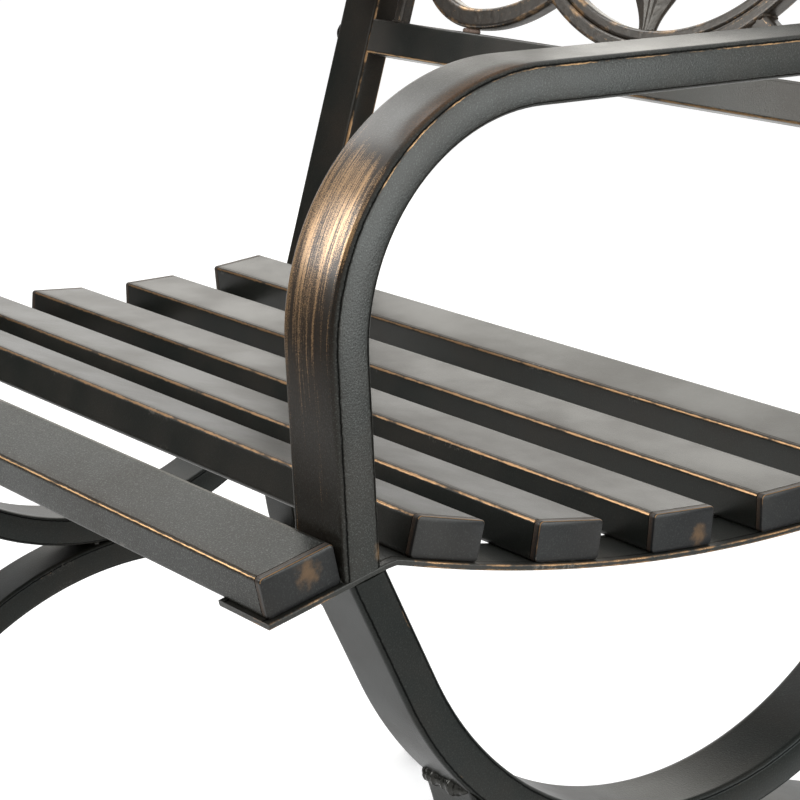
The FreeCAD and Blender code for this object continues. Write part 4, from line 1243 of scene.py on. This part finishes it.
class CHAIR_OT_side_frames(Operator):
    """Arms, upper arcs, leg arches and struts of the two side frames"""

    bl_idname = "chair.side_frames"
    bl_label = "Side frames"

    def execute(self, context):
        sizes, finish = settings(context)
        for side in SIDES:
            made = {"arm": arm(sizes, side), "upper_arc": upper_arc(sizes, side),
                    "leg_arch": leg_arch(sizes, side), "front_strut": strut(sizes, side, FRONT),
                    "rear_strut": strut(sizes, side, REAR)}
            for name, grid in made.items():
                node_name = "%s_%s" % (name, side)
                # Arcs, arches and struts take the duller coat, painted shade under the seat
                paint = coat("arc_coat", finish)
                if name == "arm":
                    paint = coat("frame_coat", finish, [ARM_SPOT])
                piece("bronze_" + node_name, [grid], paint, [node_name])
        return {"FINISHED"}


class CHAIR_OT_seat_bars(Operator):
    """Flat bars that carry the slats"""

    bl_idname = "chair.seat_bars"
    bl_label = "Seat bars"

    def execute(self, context):
        return dress_both(context, "bronze_", "seat_bar_", seat_bar, "bar_coat")


class CHAIR_OT_back_posts(Operator):
    """Leaned posts of the back"""

    bl_idname = "chair.back_posts"
    bl_label = "Back posts"

    def execute(self, context):
        return dress_both(context, "bronze_", "back_post_", back_post, "post_coat")


class CHAIR_OT_slats(Operator):
    """Seat slats"""

    bl_idname = "chair.slats"
    bl_label = "Slats"

    def execute(self, context):
        sizes, finish = settings(context)
        for name in SLATS:
            paint = coat("front_slat_coat" if name == SLATS[0] else "slat_coat", finish)
            piece("bronze_" + name, [slat(sizes, name)], paint, [name])
        return {"FINISHED"}


class CHAIR_OT_slat_caps(Operator):
    """Plastic caps on the slats' ends"""

    bl_idname = "chair.slat_caps"
    bl_label = "Slat caps"

    def execute(self, context):
        sizes, finish = settings(context)
        grids = [grid for name in SLATS for grid in slat_caps(sizes, name)]
        spots = []
        for name, lift, across, radius in (("slat_1", 0.002, 0.0045, 0.011),
                                           ("slat_4", -0.004, 0.011, 0.009)):
            spot = in_slat(sizes, name)(sizes.slat_length / 2, lift, across)
            spots.append((tuple(float(part) for part in spot), radius))
        piece("moulded_slat_caps", grids, coat("cap_coat", finish, spots),
              ["slat_end_caps"])
        return {"FINISHED"}


class CHAIR_OT_rails(Operator):
    """Lower and top rail of the back"""

    bl_idname = "chair.rails"
    bl_label = "Back rails"

    def execute(self, context):
        sizes, finish = settings(context)
        for name, grid in (("lower_back_rail", lower_rail(sizes)), ("top_back_rail", top_rail(sizes))):
            piece("bronze_" + name, [grid], coat("rail_coat", finish), [name])
        return {"FINISHED"}


class CHAIR_OT_stiles(Operator):
    """Slim uprights beside the scrolls"""

    bl_idname = "chair.stiles"
    bl_label = "Stiles"

    def execute(self, context):
        return dress_both(context, "cast_", "back_stile_", stile, "cast_coat")


class CHAIR_OT_rings(Operator):
    """Outer and inner ring of the back"""

    bl_idname = "chair.rings"
    bl_label = "Rings"

    def execute(self, context):
        sizes, finish = settings(context)
        outer = ring(sizes, sizes.ring, sizes.ring_bar, sizes.ring_deep)
        inner = ring(sizes, sizes.ring - sizes.ring_bar, sizes.inner_bar, sizes.inner_deep)
        for name, grid in (("outer_ring", outer), ("inner_ring", inner)):
            piece("cast_" + name, [grid], coat("cast_coat", finish), [name])
        return {"FINISHED"}


class CHAIR_OT_scrolls(Operator):
    """Four scrolls between the ring and the posts"""

    bl_idname = "chair.scrolls"
    bl_label = "Scrolls"

    def execute(self, context):
        sizes, finish = settings(context)
        for side in SIDES:
            for level in ("lower", "upper"):
                name = "%s_scroll_%s" % (level, side)
                piece("cast_" + name, [scroll(sizes, side, level == "upper")],
                      coat("cast_coat", finish), [name])
        return {"FINISHED"}


class CHAIR_OT_bud(Operator):
    """Cast bud inside the ring"""

    bl_idname = "chair.bud"
    bl_label = "Bud"

    def execute(self, context):
        sizes, finish = settings(context)
        piece("cast_tulip", bud(sizes), coat("cast_coat", finish), ["tulip"])
        return {"FINISHED"}


class CHAIR_OT_welds(Operator):
    """Weld beads at the joints"""

    bl_idname = "chair.welds"
    bl_label = "Welds"

    def execute(self, context):
        sizes, finish = settings(context)
        bare = plain_part("weld_drop", finish.drop, 0.45, 0.0, 0.0012, 0.0001)
        for side in SIDES:
            piece("weld_beads_" + side, frame_beads(sizes, side), coat("weld_coat", finish))
        piece("weld_beads_back", panel_beads(sizes), coat("weld_coat", finish))
        piece("weld_drops", weld_drops(sizes), bare)
        return {"FINISHED"}


class CHAIR_OT_small_parts(Operator):
    """Finishes of the caps, feet, screws, bolts, washers, nuts and plugs"""

    bl_idname = "chair.small_parts"
    bl_label = "Small parts"

    def execute(self, context):
        _, finish = settings(context)
        black, zinc = ("slat_screws", "rail_bolts", "rail_washers"), ("slat_rivet_nuts", "rail_plugs")
        finishes = [
            (("post_caps",), plain_part("moulded_cap", finish.cap, 0.38, 0.0, 0.0012, 0.00004)),
            (("foot_caps",), plain_part("moulded_foot", finish.sole, 0.48, 0.0, 0.0010, 0.00006)),
            (black, plain_part("blackened_steel", finish.fastener, 0.36, 0.8, 0.0006, 0.00002)),
            (zinc, plain_part("zinc_plate", finish.zinc, 0.30, 1.0, 0.0006, 0.00002))]
        for name, material in ((name, material) for names, material in finishes for name in names):
            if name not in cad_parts:
                raise RuntimeError("the packed model has no %s" % name)
            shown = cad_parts[name]
            if not shown.material_slots:
                shown.data.materials.append(material)
            for slot in shown.material_slots:
                slot.material = material
        return {"FINISHED"}


# Stage

# Lamps by their power's name: place, size and tint
LAMPS = {
    "key": ((-0.92, -1.38, 1.15), (0.78, 0.7), (1.0, 1.0, 1.0)),
    "top": ((-1.3, -0.1, 1.85), (0.6, 0.6), (1.0, 1.0, 1.0)),
    "wash": ((-2.2, 1.7, 1.45), (2.4, 1.3), (1.0, 0.955, 0.86)),
    "flank": ((0.93, 0.16, 0.53), (0.55, 0.36), (0.95, 1.0, 1.04)),
}
LAMP_AIM = (0.0, 0.0, 0.45)
CAMERA_PLACE = (1.13544, -0.85158, 0.78612)
CAMERA_SENSOR = 36.0
FLOOR_REACH = 20.0
BOARD_RADIUS, BOARD_HEIGHT = 3.0, 2.3
BOARD_FROM, BOARD_TO = math.radians(186), math.radians(292)


class CHAIR_OT_stage(Operator):
    """Floor, room, lamps and camera"""

    bl_idname = "chair.stage"
    bl_label = "Stage"

    def execute(self, context):
        stage = context.scene.chair_stage
        floor(stage)
        room(context.scene, stage)
        for name, (spot, size, tint) in LAMPS.items():
            lamp(name + "_lamp", spot, size, getattr(stage, name), tint)
        front_board(stage)
        camera(context.scene, stage)
        context.scene.view_settings.view_transform = "Standard"
        return {"FINISHED"}


def stage_sheet(name, points, material):
    """Open sheet of the stage from a grid of points, a quad between each four neighbours."""
    rows, columns = points.shape[:2]
    i, j = np.meshgrid(np.arange(rows - 1), np.arange(columns - 1), indexing="ij")
    first = (i * columns + j).ravel()
    quads = np.stack([first, first + columns, first + columns + 1, first + 1], -1)
    mesh = bpy.data.meshes.new(name)
    mesh.from_pydata(points.reshape(-1, 3).tolist(), [], quads.tolist())
    mesh.materials.append(material)
    shown = bpy.data.objects.new(name, mesh)
    bpy.context.scene.collection.objects.link(shown)
    return shown


def matt_material(name):
    """Material without gloss, for the stage."""
    made, do, shader = new_material(name)
    shader["Roughness"].default_value = 0.9
    shader["Specular IOR Level"].default_value = 0.0
    return made, do, shader


def seen_rays(do, rays):
    """1 for camera, glossy and transmission rays, 0 for the rest."""
    return do.most(do.most(rays["Is Camera Ray"], rays["Is Glossy Ray"]), rays["Is Transmission Ray"])


def floor(stage):
    """Level floor: z = 0 on a square grid of points, with a white sweep widening behind the chair."""
    made, do, shader = matt_material("pale_floor")
    place = do.add("ShaderNodeTexCoord")["Object"]
    behind = do.vectors("DOT_PRODUCT", place, (-0.8, 0.6, 0.0))["Value"]
    across = do.vectors("DOT_PRODUCT", place, (0.6, 0.8, 0.0))["Value"]
    widening = do.times(do.most(behind, 0.0), 0.12)
    beside = do.minus(do.maths("ABSOLUTE", across), widening)
    rays = do.add("ShaderNodeLightPath")
    white = do.most(do.spread(beside, 0.95, 1.3, 1.0, 0.0), rays["Is Camera Ray"])
    do.feed(shader["Base Color"], do.blend(white, stage.near_floor, stage.floor))
    shader["Emission Color"].default_value = WHITE
    glow = 0.34
    do.feed(shader["Emission Strength"], do.times(do.times(seen_rays(do, rays), white), glow))
    reach = np.linspace(-FLOOR_REACH, FLOOR_REACH, 9)
    x, y = np.meshgrid(reach, reach, indexing="ij")
    stage_sheet("floor", np.stack([x, y, 0 * x], -1), made)


def front_board(stage):
    """Dark board round the front: part of a cylinder, x = r cos t, y = r sin t, from the floor up."""
    made, _, shader = matt_material("dark_board")
    shader["Base Color"].default_value = stage.board
    turn, level = np.meshgrid(np.linspace(BOARD_TO, BOARD_FROM, 41), np.linspace(0.0, BOARD_HEIGHT, 5),
                              indexing="ij")
    points = np.stack([BOARD_RADIUS * np.cos(turn), BOARD_RADIUS * np.sin(turn), level], -1)
    stage_sheet("front_board", points, made).visible_camera = False


def room(scene, stage):
    """White room: full white to the camera and in reflections, dimmer as light on the chair."""
    world = bpy.data.worlds.new("room")
    world.use_nodes = True
    scene.world = world
    world.node_tree.nodes.clear()
    do = Nodes(world.node_tree)
    strength = do.mix(seen_rays(do, do.add("ShaderNodeLightPath")), stage.ambient, 1.0)
    back = do.add("ShaderNodeBackground", {"Color": WHITE, "Strength": strength})
    do.add("ShaderNodeOutputWorld", {0: back[0]})


def lamp(name, spot, size, energy, tint):
    """Soft rectangular lamp that faces the seat."""
    light = bpy.data.lights.new(name, "AREA")
    light.shape, light.size, light.size_y = "RECTANGLE", *size
    light.energy, light.color = energy, tint
    made = bpy.data.objects.new(name, light)
    bpy.context.scene.collection.objects.link(made)
    x, y, z = np.array(LAMP_AIM) - np.array(spot)
    made.location = spot
    made.rotation_mode = "XYZ"
    made.rotation_euler = (math.atan2(math.hypot(x, y), -z), 0.0, math.atan2(x, -y) + math.pi)
    made.visible_camera = False


def camera(scene, stage):
    """Camera at the photograph's place, turned by its yaw and pitch."""
    view = bpy.data.cameras.new("camera")
    view.sensor_width, view.lens = CAMERA_SENSOR, stage.lens
    view.clip_start, view.clip_end = 0.05, 100.0
    made = bpy.data.objects.new("camera", view)
    made.location = CAMERA_PLACE
    made.rotation_mode = "XYZ"
    made.rotation_euler = (math.pi / 2 - stage.pitch, 0.0, stage.yaw)
    scene.collection.objects.link(made)
    scene.camera = made


class CHAIR_PT_panel(Panel):
    """Lists the chair's operators and settings."""

    bl_idname = "CHAIR_PT_panel"
    bl_label = "Armchair"
    bl_space_type = "VIEW_3D"
    bl_region_type = "UI"
    bl_category = "Armchair"

    def draw(self, context):
        for operator in OPERATORS:
            self.layout.operator(operator.bl_idname)
        for held in GROUPS:
            group = getattr(context.scene, held)
            for name in group.__annotations__:
                self.layout.prop(group, name)


GROUPS = {"chair_sizes": ChairSizes, "chair_finish": ChairFinish, "chair_stage": ChairStage}
OPERATORS = [CHAIR_OT_side_frames, CHAIR_OT_seat_bars, CHAIR_OT_back_posts, CHAIR_OT_slats,
             CHAIR_OT_slat_caps, CHAIR_OT_rails, CHAIR_OT_stiles, CHAIR_OT_rings, CHAIR_OT_scrolls,
             CHAIR_OT_bud, CHAIR_OT_welds, CHAIR_OT_small_parts, CHAIR_OT_stage]
CLASSES = [*GROUPS.values(), *OPERATORS, CHAIR_PT_panel]


def register():
    """Makes the classes known and hangs the settings on the scene."""
    for made in CLASSES:
        bpy.utils.register_class(made)
    for name, group in GROUPS.items():
        setattr(bpy.types.Scene, name, PointerProperty(type=group))


def unregister():
    """Takes the settings and the classes away again."""
    for name in GROUPS:
        delattr(bpy.types.Scene, name)
    for made in reversed(CLASSES):
        bpy.utils.unregister_class(made)


def main():
    register()
    for operator in OPERATORS:
        getattr(bpy.ops.chair, operator.bl_idname.split(".")[1])()


if __name__ == "__main__":
    main()
